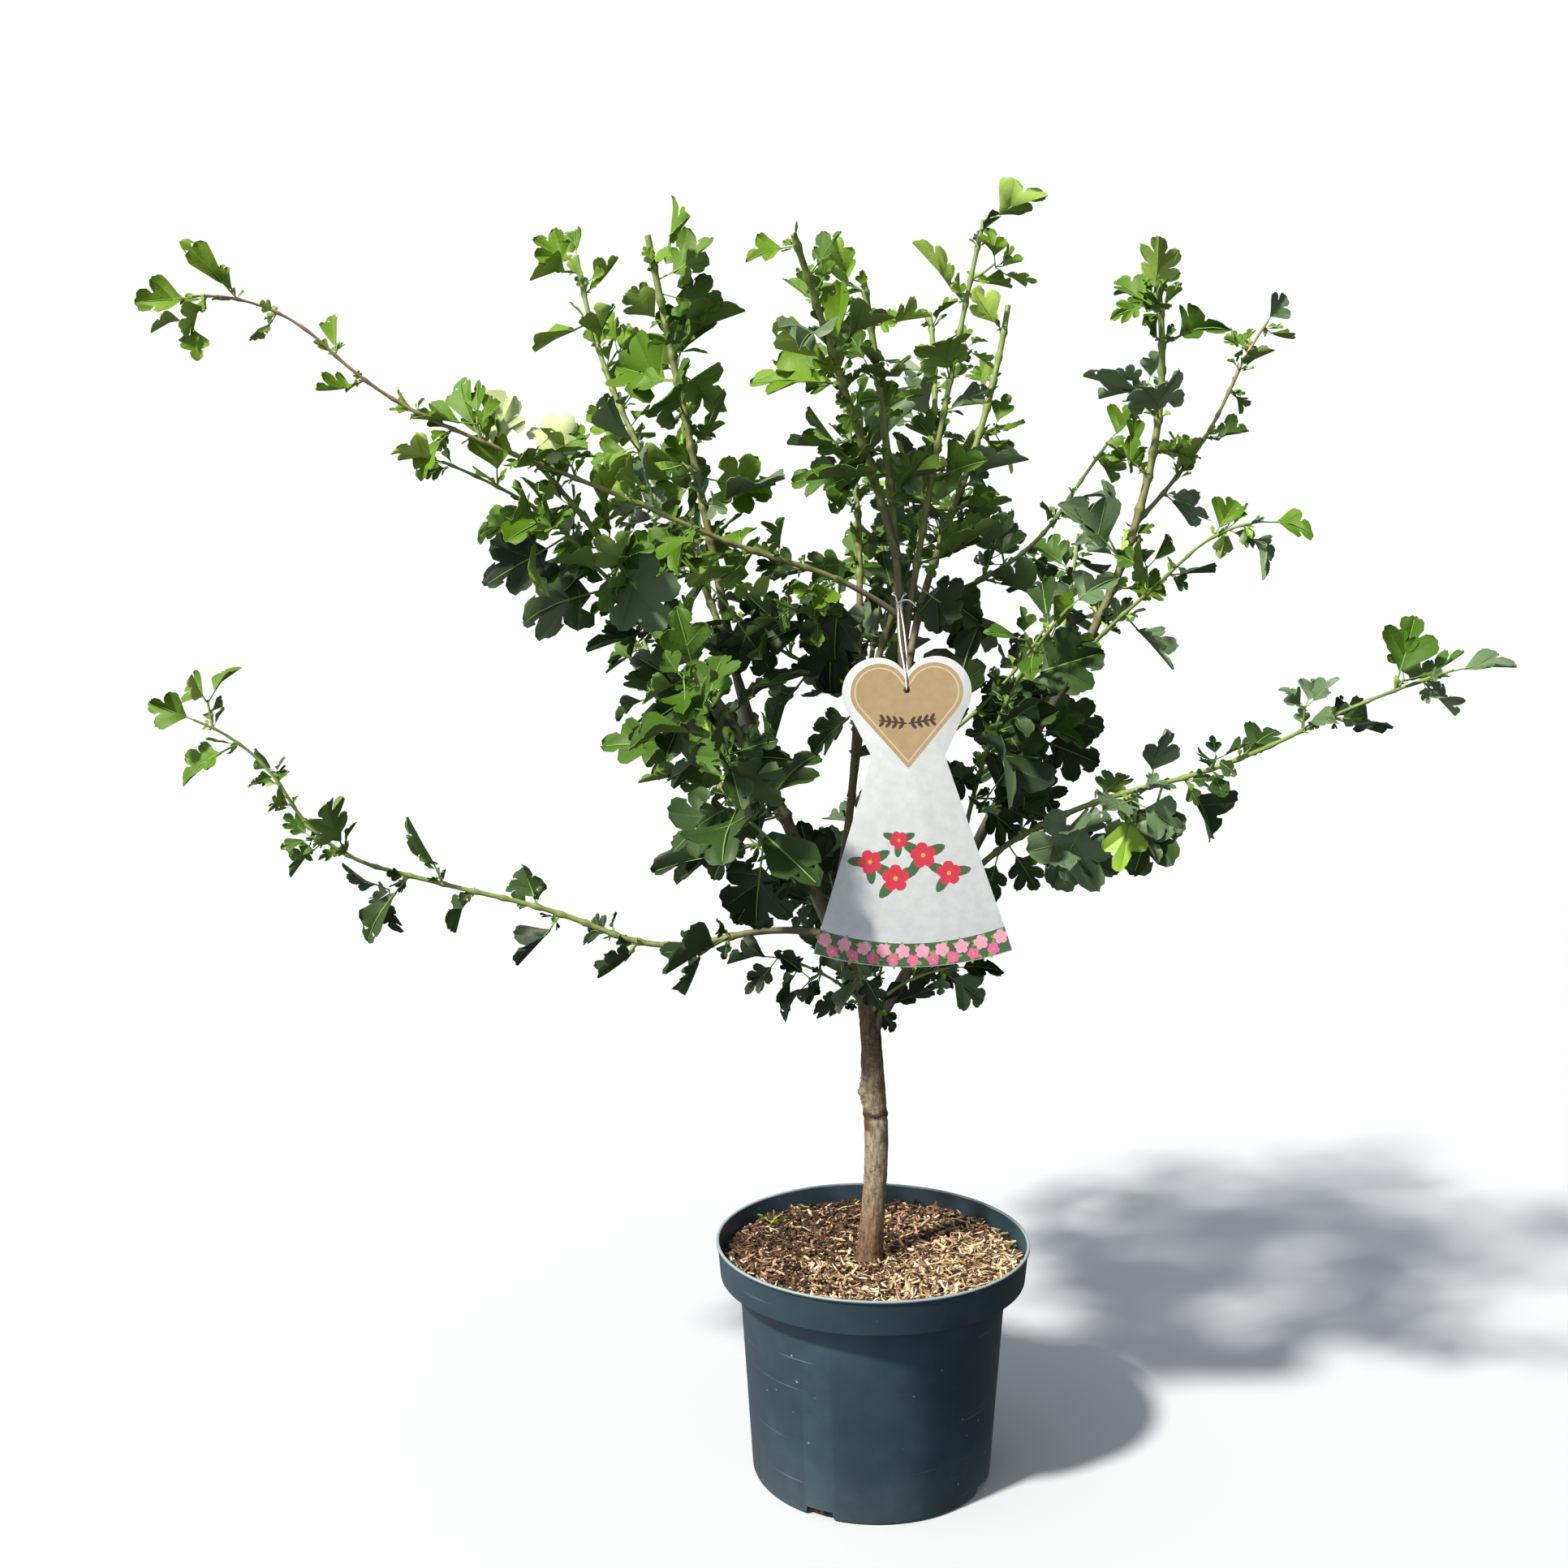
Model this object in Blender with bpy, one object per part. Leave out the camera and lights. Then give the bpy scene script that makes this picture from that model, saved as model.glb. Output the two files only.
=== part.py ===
"""Potted hawthorn: pot, compost, trunk, boughs, leafy shoots and a hanging plant label.

Metres, +Z up. The origin is the centre of the pot's flat underside. The plant is seen
from -Y, with +X to the right. Rows of sizes are in millimetres and degrees.
"""
import math
import random
from collections import namedtuple

import bmesh
import bpy
from mathutils import Matrix, Vector
from mathutils.bvhtree import BVHTree

MM = 0.001
GAP = 0.3 * MM                    # room left between neighbours that touch
UP = Vector((0, 0, 1))

SHARP_ANGLE = 40                  # faces that meet more sharply than this show an edge
MERGE_DISTANCE = 0.01 * MM

# Pot, a nursery's growing pot of about 25 cm
POT_HEIGHT = 188 * MM
RIM_RADIUS = 123.5 * MM
COLLAR_DEPTH = 28 * MM
COLLAR_FOOT_RADIUS = 120.3 * MM
BODY_TOP_RADIUS = 105.5 * MM
FOOT_RADIUS = 95 * MM
FOOT_CHAMFER = 3 * MM
WALL = 2 * MM
LIP_BEVEL = 0.5 * MM
BASE_THICKNESS = 3 * MM
POT_SEGMENTS = 32
DRAIN_WIDTH = 27 * MM
DRAIN_HEIGHT = 7 * MM
DRAIN_DEPTH = 12 * MM
DRAIN_HEADINGS = (-114, -24, 66, 156)

# Compost, its bark mulch domed a little round the flat place where the trunk stands
MULCH_EDGE = 172.5 * MM
MULCH_CROWN = 174.5 * MM
MULCH_FLAT_RADIUS = 32 * MM
MULCH_RINGS = (0.8, 0.52)         # between the edge and the flat, as shares of the edge's radius
MULCH_LUMP = 1.2 * MM

# Trunk, from its flat cut on the mulch to its fork
TRUNK_FOOT = Vector((-3 * MM, -16 * MM, MULCH_CROWN + GAP))
TRUNK_TURNS = (49, 61, 153, 149)
TRUNK_RISES = (81, 86, 84)
TRUNK_LENGTH = 208 * MM
TRUNK_DIAMETERS = (20.5, 19, 18.6, 18.2, 18.2, 18.8, 17.2, 16.6, 16, 15.8, 16.4)
TRUNK_SIDES = 10
FOOT_CUT = 5 * MM                 # the lowest ring is cut level within this height
KNOB_AT = 0.57
KNOB_HEADING = 185
KNOB_SIZE = (6.5 * MM, 8 * MM, 16 * MM)
KNOB_SUNK = 2.8 * MM              # its middle lies this deep in the bark

# Boughs and shoots. A shoot is one path. Its bare foot is a bough, and the rest is the
# stem of a mass of leaves. Headings are seen from above, 0 to the right and 90 to the
# back. Rises are above level, in even steps along the path.
Shoot = namedtuple("Shoot", "name carrier at turns rises length bare foot tip leaf pruned")

SHOOTS = (
    Shoot("left", "trunk", 1.0, (-163, -156, -148), (60, 69, 55, 53, 45), 490, 150, 14, 3.5, 58, True),
    Shoot("right", "trunk", 0.87, (-2, 15), (59, 64, 60, 77, 101), 630, 355, 11, 5, 54, True),
    Shoot("centre", "left", 0.05, (4, -123, -188), (65, 80, 84, 83, 80), 530, 350, 9.5, 5, 54, True),
    Shoot("centre_left", "left", 0.135, (46, 89, 143), (71, 84, 72, 73), 510, 265, 7.5, 4, 52, True),
    Shoot("upright_left", "left", 0.267, (140, 171, 185), (55, 79, 78, 79), 485, 140, 8.5, 5.5, 58, True),
    Shoot("tall_left", "upright_left", 0.16, (110, 160, 127), (52, 62, 60, 72), 465, 110, 7, 4, 54, False),
    Shoot("low_left", "left", 0.117, (180, 199), (12, -16, 24, 14, 17, 63, 22), 535, 70, 6.5, 2, 56, False),
    Shoot("long_left", "centre", 0.533, (-160, -163, -153), (36, 15, 23, 20, 22, 44, -8), 535,
          45, 5, 1.8, 54, False),
    Shoot("front_top", "centre", 0.617, (-128, -119), (66, 58, 57, 54), 245, 30, 6.5, 5, 54, True),
    Shoot("tallest", "centre", 0.483, (28, 36), (80, 79, 77, 75), 325, 55, 6, 3.5, 50, True),
    Shoot("centre_right", "centre", 0.417, (75, 47, 64), (65, 58, 63, 70), 345, 105, 7, 5, 52, True),
    Shoot("back_top", "centre_left", 0.30, (69, 67, 103), (49, 51, 60, 61), 430, 80, 6.5, 5, 54, True),
    Shoot("right_side", "right", 0.517, (-41, -24), (47, 39, 43, 5), 180, 25, 4, 1.8, 52, False),
    Shoot("inner_right", "centre_right", 0.233, (24, 43), (14, 28, 50, 43), 230, 22, 4.5, 2.5, 54, False),
    Shoot("low_right", "right", 0.15, (-29, -33), (62, 31, 16, 29, 20), 440, 75, 6, 2, 56, False),
    Shoot("front_right", "right", 0.217, (-79, -45), (66, 61, 55, 41), 255, 65, 4.5, 2.5, 58, False),
    Shoot("short_left", "centre_left", 0.483, (-109, -134), (-15, 6, 21), 120, 18, 3, 1.8, 50, False),
    Shoot("short_right", "centre", 0.33, (-20, -8), (25, 45, 60), 150, 35, 4, 2, 60, False),
    Shoot("inner_left", "centre_left", 0.38, (190, 205), (10, 30, 50), 130, 25, 4, 2, 60, False),
    Shoot("front_left", "left", 0.19, (-122, -112), (25, 50, 62), 250, 55, 5, 2.5, 64, False),
    Shoot("back", "centre_left", 0.20, (85, 80), (30, 45, 62), 400, 80, 6, 3.5, 56, True),
    Shoot("back_left", "left", 0.22, (130, 120), (20, 35, 55), 380, 85, 6, 3, 58, True),
    Shoot("back_right", "right", 0.27, (62, 75), (25, 42, 58), 370, 75, 5.5, 3, 58, True),
    Shoot("back_low", "left", 0.085, (97, 80), (8, 5, 28), 330, 65, 5.5, 2.2, 58, False),
    Shoot("skirt_front", "trunk", 0.95, (-105, -90), (55, 25), 80, 0, 3.2, 1.8, 56, False),
    Shoot("skirt_right", "trunk", 0.93, (-55, -25), (50, 15), 95, 0, 3.2, 1.8, 56, False),
    Shoot("skirt_back", "trunk", 0.93, (70, 90), (50, 10), 95, 0, 3.2, 1.8, 56, False),
    Shoot("skirt_left", "trunk", 0.95, (-150, -165), (50, 15), 90, 0, 3.2, 1.8, 56, False),
)

# Side shoots that are long enough to show stay in the mass of the shoot they leave
SIDE_SHOOTS = {
    "left": Shoot("left_lower", "left", 0.717, (-155, -140), (24, 50, 26, 18), 185, 0, 4, 2, 52, False),
    "right": Shoot("right_outer", "right", 0.70, (36, 42), (38, 44, 59, 43), 220, 0, 4, 2, 46, False),
}

# The leaf at the very top leans out of the tallest shoot's cut end. An unpruned shoot
# ends in a smaller leaf that goes straight on.
TOP_LEAF_HEADING = 0
TOP_LEAF_RISE = 36
TOP_LEAF_LENGTH = 54 * MM
TOP_LEAF_AT = 0.99
TIP_LEAF_SIZE = 0.75

PATH_STEPS = 60
FLAT_ENOUGH = 0.05                # under this a cross product is no longer a direction
LIMB_STEP = 38 * MM               # between a limb's rings
BOUGH_SIDES = 6
STEM_SIDES = 4

# Leaves: alternate along the stem, with a spur of leaves in place of every third one
NODE_STEP = 22 * MM
STEP_SCATTER = (0.8, 1.2)
DIVERGENCE = 137.5
SPUR_EVERY = 3
SPUR_LENGTHS = (9 * MM, 20 * MM)
SPUR_DIAMETERS = (2.2, 1.4)
SPUR_LEAN = 53                    # degrees away from the stem
SPUR_LEAVES = 3
SPUR_LEAVES_AT = 0.9
TUFT_LEANS = (35, 60)
TUFT_SIZES = (0.7, 0.95)
LEAF_LEANS = (48, 72)
LEAF_SIZES = (0.8, 1.2)           # spread about the shoot's own leaf
TURN_SCATTER = 20
LEAF_TRIES = 6
RETRY_TURN = 67
CLEARANCE = 1.06                  # a new piece is tested for room at this much over its size
LEAF_LOBES = ((0.45, 0.62), (0.22, 0.72), (0.0, 1.0), (-0.22, 0.72), (-0.45, 0.62))
LEAF_STALK = 0.24                 # share of the leaf's length
LEAF_STALK_WIDTH = 0.026
LEAF_CROWN = 0.022                # the middle rises this much over the rim
LEAF_LIGHT = Vector((-0.3, -0.5, 0.8))
LEAF_OUTWARD = 0.35
LEAF_SCATTER = 0.45
LEAF_GROWTH = (1.38, 0.86)        # size at a shoot's foot and tip, as a share of the shoot's own leaf

# Label, a stiff card: a heart over a flared skirt, with its hole as its own origin
LABEL_HOLE = Vector((22 * MM, -88 * MM, 627 * MM))
LABEL_LEAN = 5                    # its foot stands out over the leaves
LABEL_SWING = -1.7
LABEL_THICKNESS = 0.8 * MM
HOLE_RADIUS = 2.4 * MM
HEART_HALF_WIDTH = 46 * MM
LOBE_RADIUS = 25 * MM
LOBE_CENTRE_DROP = 1.5 * MM
NOTCH_RISE = 12 * MM
NECK_HALF_WIDTH = 26 * MM
NECK_DROP = 47 * MM
SKIRT_HALF_WIDTH = 71 * MM
SKIRT_DROP = 187 * MM
SKIRT_SAG = 11 * MM
LOBE_TURNS = range(125, -36, -20)  # of the points round a lobe
HEM_SHARES = (0.66, 0.33)         # of the points along the skirt's sagging hem
HOLE_SIDES = 10
LABEL_VIEW_DEPTH = 260 * MM       # leaves keep out of the space in front of it

# String, one closed loop through the hole and round the centre bough
STRING_DIAMETER = 1.2 * MM
STRING_AT = 0.565                 # along the centre shoot
STRING_SLACK = 1.0 * MM
STRING_TURNS = range(-120, -421, -30)  # round the bough, from its front left to its front right
STRAND_SPACING = 1.9 * MM
KNOT_DROP = 9 * MM                # under the turn round the bough
FRONT_SHARES = (0.35, 0.7)        # of the points from the notch up to the knot
REAR_SHARES = (0.7, 0.4, 0.12)    # of the points from the knot down to the hole


def material(name, colour, roughness):
    """Make a plain Principled material."""
    made = bpy.data.materials.new(name)
    made.use_nodes = True
    shader = made.node_tree.nodes["Principled BSDF"]
    shader.inputs["Base Color"].default_value = (*colour, 1)
    shader.inputs["Roughness"].default_value = roughness
    return made


def add_object(name, bm, finish, smooth=False):
    """Turn a bmesh into an object of the scene."""
    bmesh.ops.recalc_face_normals(bm, faces=bm.faces[:])
    mesh = bpy.data.meshes.new(name)
    bm.to_mesh(mesh)
    bm.free()
    mesh.materials.append(finish)
    if smooth:
        mesh.shade_smooth()
        mesh.set_sharp_from_angle(angle=math.radians(SHARP_ANGLE))
    made = bpy.data.objects.new(name, mesh)
    bpy.context.collection.objects.link(made)
    return made


def combine(base, others, operation):
    """Join or cut an object with a whole collection in one Boolean, and apply it."""
    tools = bpy.data.collections.new(base.name + "_tools")
    bpy.context.scene.collection.children.link(tools)
    for other in others:
        for holder in other.users_collection:
            holder.objects.unlink(other)
        tools.objects.link(other)
    boolean = base.modifiers.new(operation.title(), "BOOLEAN")
    boolean.operation = operation
    boolean.operand_type = "COLLECTION"
    boolean.collection = tools
    for solver in ("EXACT", "MANIFOLD"):
        boolean.solver = solver
        graph = bpy.context.evaluated_depsgraph_get()
        mesh = bpy.data.meshes.new_from_object(base.evaluated_get(graph))
        if is_closed(mesh):
            break
        print(base.name, "isn't closed by", solver)
    base.modifiers.clear()
    base.data = mesh
    for other in others:
        bpy.data.objects.remove(other)
    bpy.data.collections.remove(tools)
    keep_one_body(base)


def is_closed(mesh):
    """Say whether every edge of a mesh has exactly two faces."""
    bm = bmesh.new()
    bm.from_mesh(mesh)
    closed = all(edge.is_manifold for edge in bm.edges)
    bm.free()
    return closed


def keep_one_body(piece):
    """Drop loose scraps and fill sealed hollows: only the largest closed skin stays."""
    bm = bmesh.new()
    bm.from_mesh(piece.data)
    unseen = set(bm.verts)
    skins = []
    while unseen:
        skin = []
        front = [unseen.pop()]
        while front:
            vert = front.pop()
            skin.append(vert)
            for edge in vert.link_edges:
                other = edge.other_vert(vert)
                if other in unseen:
                    unseen.remove(other)
                    front.append(other)
        skins.append(skin)
    skins.sort(key=len)
    for skin in skins[:-1]:
        bmesh.ops.delete(bm, geom=skin, context="VERTS")
    bm.to_mesh(piece.data)
    bm.free()


def heading_vector(heading, rise):
    """Give the unit direction of a compass heading and a rise, in degrees."""
    turn, lift = math.radians(heading), math.radians(rise)
    return Vector((math.cos(lift) * math.cos(turn), math.cos(lift) * math.sin(turn), math.sin(lift)))


def between(values, share):
    """Read a list of evenly spaced values at a share of its length."""
    place = min(max(share, 0.0), 1.0) * (len(values) - 1)
    low = min(int(place), len(values) - 2)
    return values[low] + (values[low + 1] - values[low]) * (place - low)


def grow_path(foot, turns, rises, length):
    """Follow the headings and rises from the foot, and give the points on the way."""
    points = [foot.copy()]
    for step in range(PATH_STEPS):
        share = (step + 0.5) / PATH_STEPS
        way = heading_vector(between(turns, share), between(rises, share))
        points.append(points[-1] + way * (length / PATH_STEPS))
    return points


def point_on(path, share):
    """Give the point at a share of a path's length."""
    place = min(max(share, 0.0), 1.0) * (len(path) - 1)
    low = min(int(place), len(path) - 2)
    return path[low].lerp(path[low + 1], place - low)


def way_on(path, share):
    """Give the direction of a path at a share of its length."""
    low = min(int(min(max(share, 0.0), 1.0) * (len(path) - 1)), len(path) - 2)
    return (path[low + 1] - path[low]).normalized()


def turned_to(place, way):
    """Give the frame at a place whose own Z runs along a direction."""
    return Matrix.Translation(place) @ UP.rotation_difference(way).to_matrix().to_4x4()


def limb_mesh(path, start, end, diameters, sides, swell=0.0):
    """Draw a tapering limb along a path by extruding a ring, and close both ends."""
    length = sum((b - a).length for a, b in zip(path, path[1:])) * (end - start)
    rings = max(2, round(length / LIMB_STEP)) + 1
    bm = bmesh.new()
    frame = None
    for ring in range(rings):
        share = start + (end - start) * ring / (rings - 1)
        radius = between(diameters, share) * MM / 2 + swell
        way = way_on(path, share)
        place = point_on(path, share) + way * swell * ((ring == rings - 1) - (ring == 0))
        new_frame = turned_to(place, way) @ Matrix.Scale(radius, 4)
        if frame is None:
            made = bmesh.ops.create_circle(bm, cap_ends=True, segments=sides, radius=1, matrix=new_frame)
            tip = made["verts"][0].link_faces[0]
        else:
            made = bmesh.ops.extrude_face_region(bm, geom=[tip])
            if ring > 1:
                bmesh.ops.delete(bm, geom=[tip], context="FACES_ONLY")
            tip = next(item for item in made["geom"] if isinstance(item, bmesh.types.BMFace))
            bmesh.ops.transform(bm, matrix=new_frame @ frame.inverted(), verts=tip.verts[:])
        frame = new_frame
    return bm


def world_tree(piece, swell=1.0):
    """Make the search tree of an object's faces, for the tests of room."""
    points = [piece.matrix_world @ vert.co for vert in piece.data.vertices]
    faces = [face.vertices[:] for face in piece.data.polygons]
    middle = sum(points, Vector()) / len(points)
    points = [middle + (point - middle) * swell for point in points]
    low = Vector(map(min, *points))
    high = Vector(map(max, *points))
    return low, high, BVHTree.FromPolygons(points, faces)


def is_clear(trial, taken, own):
    """Say whether a trial shape touches nothing that is taken, its own carrier apart."""
    low, high, tree = trial
    for holder, (other_low, other_high, other_tree) in taken:
        if holder in own:
            continue
        apart = any(low[k] > other_high[k] or high[k] < other_low[k] for k in range(3))
        if not apart and tree.overlap(other_tree):
            return False
    return True


def cut_clear(piece, limbs, finish):
    """Cut a piece back to 0.3 mm off each limb that it runs into."""
    tree = world_tree(piece)[2]
    swollen = []
    for limb in limbs:
        cutter = add_object("swollen", limb_mesh(*limb, swell=GAP), finish)
        if tree.overlap(world_tree(cutter)[2]):
            swollen.append(cutter)
        else:
            bpy.data.objects.remove(cutter)
    combine(piece, swollen, "DIFFERENCE")


def build_pot(finish):
    """Turn the pot: a tapering cup with a collar, a thin rim and notched drain holes."""
    collar_foot = POT_HEIGHT - COLLAR_DEPTH
    profile = (
        (0, 0),
        (FOOT_RADIUS - FOOT_CHAMFER, 0),
        (FOOT_RADIUS, FOOT_CHAMFER),
        (BODY_TOP_RADIUS, collar_foot),
        (COLLAR_FOOT_RADIUS, collar_foot),
        (RIM_RADIUS, POT_HEIGHT - LIP_BEVEL),
        (RIM_RADIUS - LIP_BEVEL, POT_HEIGHT),
        (RIM_RADIUS - WALL, POT_HEIGHT),
        (COLLAR_FOOT_RADIUS - WALL, collar_foot + WALL),
        (BODY_TOP_RADIUS - WALL, collar_foot + WALL),
        (FOOT_RADIUS - WALL, BASE_THICKNESS),
        (0, BASE_THICKNESS),
    )
    pot = add_object("pot", turned_bmesh(profile), finish, smooth=True)
    cutters = []
    for heading in DRAIN_HEADINGS:
        bm = bmesh.new()
        turned = Matrix.Rotation(math.radians(heading), 4, "Z")
        middle = Matrix.Translation((FOOT_RADIUS - DRAIN_DEPTH / 4, 0, 0))
        size = Matrix.Diagonal((DRAIN_DEPTH, DRAIN_WIDTH, 2 * DRAIN_HEIGHT, 1))
        bmesh.ops.create_cube(bm, size=1, matrix=turned @ middle @ size)
        cutters.append(add_object("drain", bm, finish))
    combine(pot, cutters, "DIFFERENCE")
    return pot


def turned_bmesh(profile):
    """Spin a profile of radius and height round Z. Points on the axis are joined."""
    bm = bmesh.new()
    verts = [bm.verts.new((radius, 0, height)) for radius, height in profile]
    edges = [bm.edges.new(pair) for pair in zip(verts, verts[1:])]
    bmesh.ops.spin(bm, geom=verts + edges, cent=(0, 0, 0), axis=(0, 0, 1), angle=math.tau,
                   steps=POT_SEGMENTS, use_merge=True)
    bmesh.ops.remove_doubles(bm, verts=bm.verts[:], dist=MERGE_DISTANCE)
    return bm


def build_compost(finish):
    """Turn the root ball that fills the pot, with a domed and lumpy top of bark mulch."""
    shelf = POT_HEIGHT - COLLAR_DEPTH + WALL + GAP
    inside = GAP + WALL
    rise = (MULCH_EDGE - shelf) / COLLAR_DEPTH
    edge_radius = COLLAR_FOOT_RADIUS + (RIM_RADIUS - COLLAR_FOOT_RADIUS) * rise - inside
    profile = (
        (0, BASE_THICKNESS + GAP),
        (FOOT_RADIUS - inside, BASE_THICKNESS + GAP),
        (BODY_TOP_RADIUS - inside, shelf),
        (COLLAR_FOOT_RADIUS - inside, shelf),
        (edge_radius, MULCH_EDGE),
        (edge_radius * MULCH_RINGS[0], MULCH_EDGE + MULCH_LUMP),
        (edge_radius * MULCH_RINGS[1], MULCH_CROWN),
        (MULCH_FLAT_RADIUS, MULCH_CROWN),
        (0, MULCH_CROWN),
    )
    bm = turned_bmesh(profile)
    rng = random.Random("mulch")
    for vert in bm.verts:
        reach = math.hypot(vert.co.x, vert.co.y)
        if vert.co.z > shelf + MM and MULCH_FLAT_RADIUS + MM < reach < edge_radius - MM:
            vert.co.z += rng.uniform(-MULCH_LUMP, MULCH_LUMP)
    return add_object("compost", bm, finish, smooth=True)


def build_trunk(path, finish):
    """Draw the trunk with its flared foot, and join the swollen graft to its left side."""
    bm = limb_mesh(path, 0, 1, TRUNK_DIAMETERS, TRUNK_SIDES)
    for vert in bm.verts:
        if vert.co.z < TRUNK_FOOT.z + FOOT_CUT:
            vert.co.z = TRUNK_FOOT.z
    trunk = add_object("trunk", bm, finish, smooth=True)
    bm = bmesh.new()
    out = heading_vector(KNOB_HEADING, 0)
    middle = point_on(path, KNOB_AT) + out * (between(TRUNK_DIAMETERS, KNOB_AT) * MM / 2 - KNOB_SUNK)
    bmesh.ops.create_icosphere(bm, subdivisions=1, radius=1,
                               matrix=Matrix.Translation(middle) @ Matrix.Diagonal((*KNOB_SIZE, 1)))
    combine(trunk, [add_object("knob", bm, finish)], "UNION")
    return trunk


def label_frame():
    """Give the label's frame: X across its face, Y up it, Z out of its front."""
    upright = Matrix.Rotation(math.radians(90 - LABEL_LEAN), 4, "X")
    return Matrix.Translation(LABEL_HOLE) @ Matrix.Rotation(math.radians(LABEL_SWING), 4, "Y") @ upright


def label_outline():
    """List the label's right half from the notch down, then its left half back up."""
    lobe_x = HEART_HALF_WIDTH - LOBE_RADIUS
    half = [(0, NOTCH_RISE)]
    for turn in LOBE_TURNS:
        across = LOBE_RADIUS * math.cos(math.radians(turn))
        up = LOBE_RADIUS * math.sin(math.radians(turn))
        half.append((lobe_x + across, up - LOBE_CENTRE_DROP))
    half.append((NECK_HALF_WIDTH, -NECK_DROP))
    half.append((SKIRT_HALF_WIDTH, -SKIRT_DROP))
    for share in HEM_SHARES:
        half.append((SKIRT_HALF_WIDTH * share, -SKIRT_DROP - SKIRT_SAG * (1 - share * share)))
    mirrored = [(-x, y) for x, y in reversed(half) if x > 0]
    return half + [(0, -SKIRT_DROP - SKIRT_SAG)] + mirrored


def label_slab(low, high):
    """Extrude the label's outline between two heights over its back plane."""
    bm = bmesh.new()
    face = bm.faces.new([bm.verts.new((x, y, low)) for x, y in label_outline()])
    made = bmesh.ops.extrude_face_region(bm, geom=[face], use_keep_orig=True)
    lifted = [item for item in made["geom"] if isinstance(item, bmesh.types.BMVert)]
    bmesh.ops.translate(bm, verts=lifted, vec=(0, 0, high - low))
    bmesh.ops.transform(bm, matrix=label_frame(), verts=bm.verts[:])
    return bm


def build_label(finish):
    """Cut the card label and punch its hole."""
    label = add_object("label", label_slab(0, LABEL_THICKNESS), finish)
    bm = bmesh.new()
    bmesh.ops.create_cone(bm, cap_ends=True, segments=HOLE_SIDES, radius1=HOLE_RADIUS,
                          radius2=HOLE_RADIUS, depth=8 * LABEL_THICKNESS, matrix=label_frame())
    combine(label, [add_object("punch", bm, finish)], "DIFFERENCE")
    return label


def build_string(path, diameters, finish):
    """Lead the string through the hole, up both sides and round the centre bough."""
    ring = point_on(path, STRING_AT)
    radius = between(diameters, STRING_AT) * MM / 2 + STRING_DIAMETER / 2 + STRING_SLACK
    hole = label_frame()
    front = hole @ Vector((0, STRING_DIAMETER, LABEL_THICKNESS + 1.1 * STRING_DIAMETER))
    over = hole @ Vector((0, NOTCH_RISE + STRING_DIAMETER, LABEL_THICKNESS + 1.5 * STRING_DIAMETER))
    rear = hole @ Vector((0, STRING_DIAMETER, -1.6 * STRING_DIAMETER))
    knot = ring + Vector((0, -radius - 2 * STRING_DIAMETER, -KNOT_DROP))
    side = Vector((STRAND_SPACING / 2, 0, 0))
    route = [hole @ Vector((0, 0, LABEL_THICKNESS / 2)), front, (front + over - side) / 2, over - side]
    route += [over.lerp(knot, share) - side for share in FRONT_SHARES]
    route.append(knot - side)
    route += [ring + heading_vector(turn, 0) * radius for turn in STRING_TURNS]
    route.append(knot + side)
    route += [rear.lerp(knot, share) + side for share in REAR_SHARES]
    route.append(rear)
    curve = bpy.data.curves.new("label_string", "CURVE")
    curve.dimensions = "3D"
    curve.bevel_depth = STRING_DIAMETER / 2
    curve.bevel_resolution = 0
    spline = curve.splines.new("POLY")
    spline.points.add(len(route) - 1)
    for point, place in zip(spline.points, route):
        point.co = (*place, 1)
    spline.use_cyclic_u = True
    curve.materials.append(finish)
    string = bpy.data.objects.new("label_string", curve)
    bpy.context.collection.objects.link(string)
    graph = bpy.context.evaluated_depsgraph_get()
    mesh = bpy.data.meshes.new_from_object(string.evaluated_get(graph))
    bpy.data.objects.remove(string)
    bm = bmesh.new()
    bm.from_mesh(mesh)
    bmesh.ops.remove_doubles(bm, verts=bm.verts[:], dist=MERGE_DISTANCE)
    return add_object("label_string", bm, finish)


def leaf_bmesh():
    """Draw a lobed leaf of unit length: root at the origin, tip at +Y, face up +Z."""
    bm = bmesh.new()
    half = LEAF_STALK_WIDTH / 2
    section = ((half, 0), (-half, 0), (0, -LEAF_STALK_WIDTH))
    root = [bm.verts.new((x, 0, z)) for x, z in section]
    neck = [bm.verts.new((x, LEAF_STALK, z)) for x, z in section]
    bm.faces.new(root)
    for one, other in ((0, 1), (1, 2), (2, 0)):
        bm.faces.new((root[one], root[other], neck[other], neck[one]))
    lobes = [bm.verts.new((x, y, 0)) for x, y in LEAF_LOBES]
    crown = bm.verts.new((0, (1 + LEAF_STALK) / 2, LEAF_CROWN))
    rim = [neck[0], *lobes, neck[1]]
    for one, other in zip(rim, rim[1:] + rim[:1]):
        bm.faces.new((one, other, crown))
    for one, other in zip(rim, rim[1:]):
        bm.faces.new((other, one, neck[2]))
    return bm


def leaf_frame(root, way, face_up, length):
    """Give the frame of a leaf that grows along a direction with its face turned up."""
    normal = (face_up - way * face_up.dot(way)).normalized()
    across = way.cross(normal)
    frame = Matrix((across, way, normal)).transposed().to_4x4()
    return Matrix.Translation(root) @ frame @ Matrix.Scale(length, 4)


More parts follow.
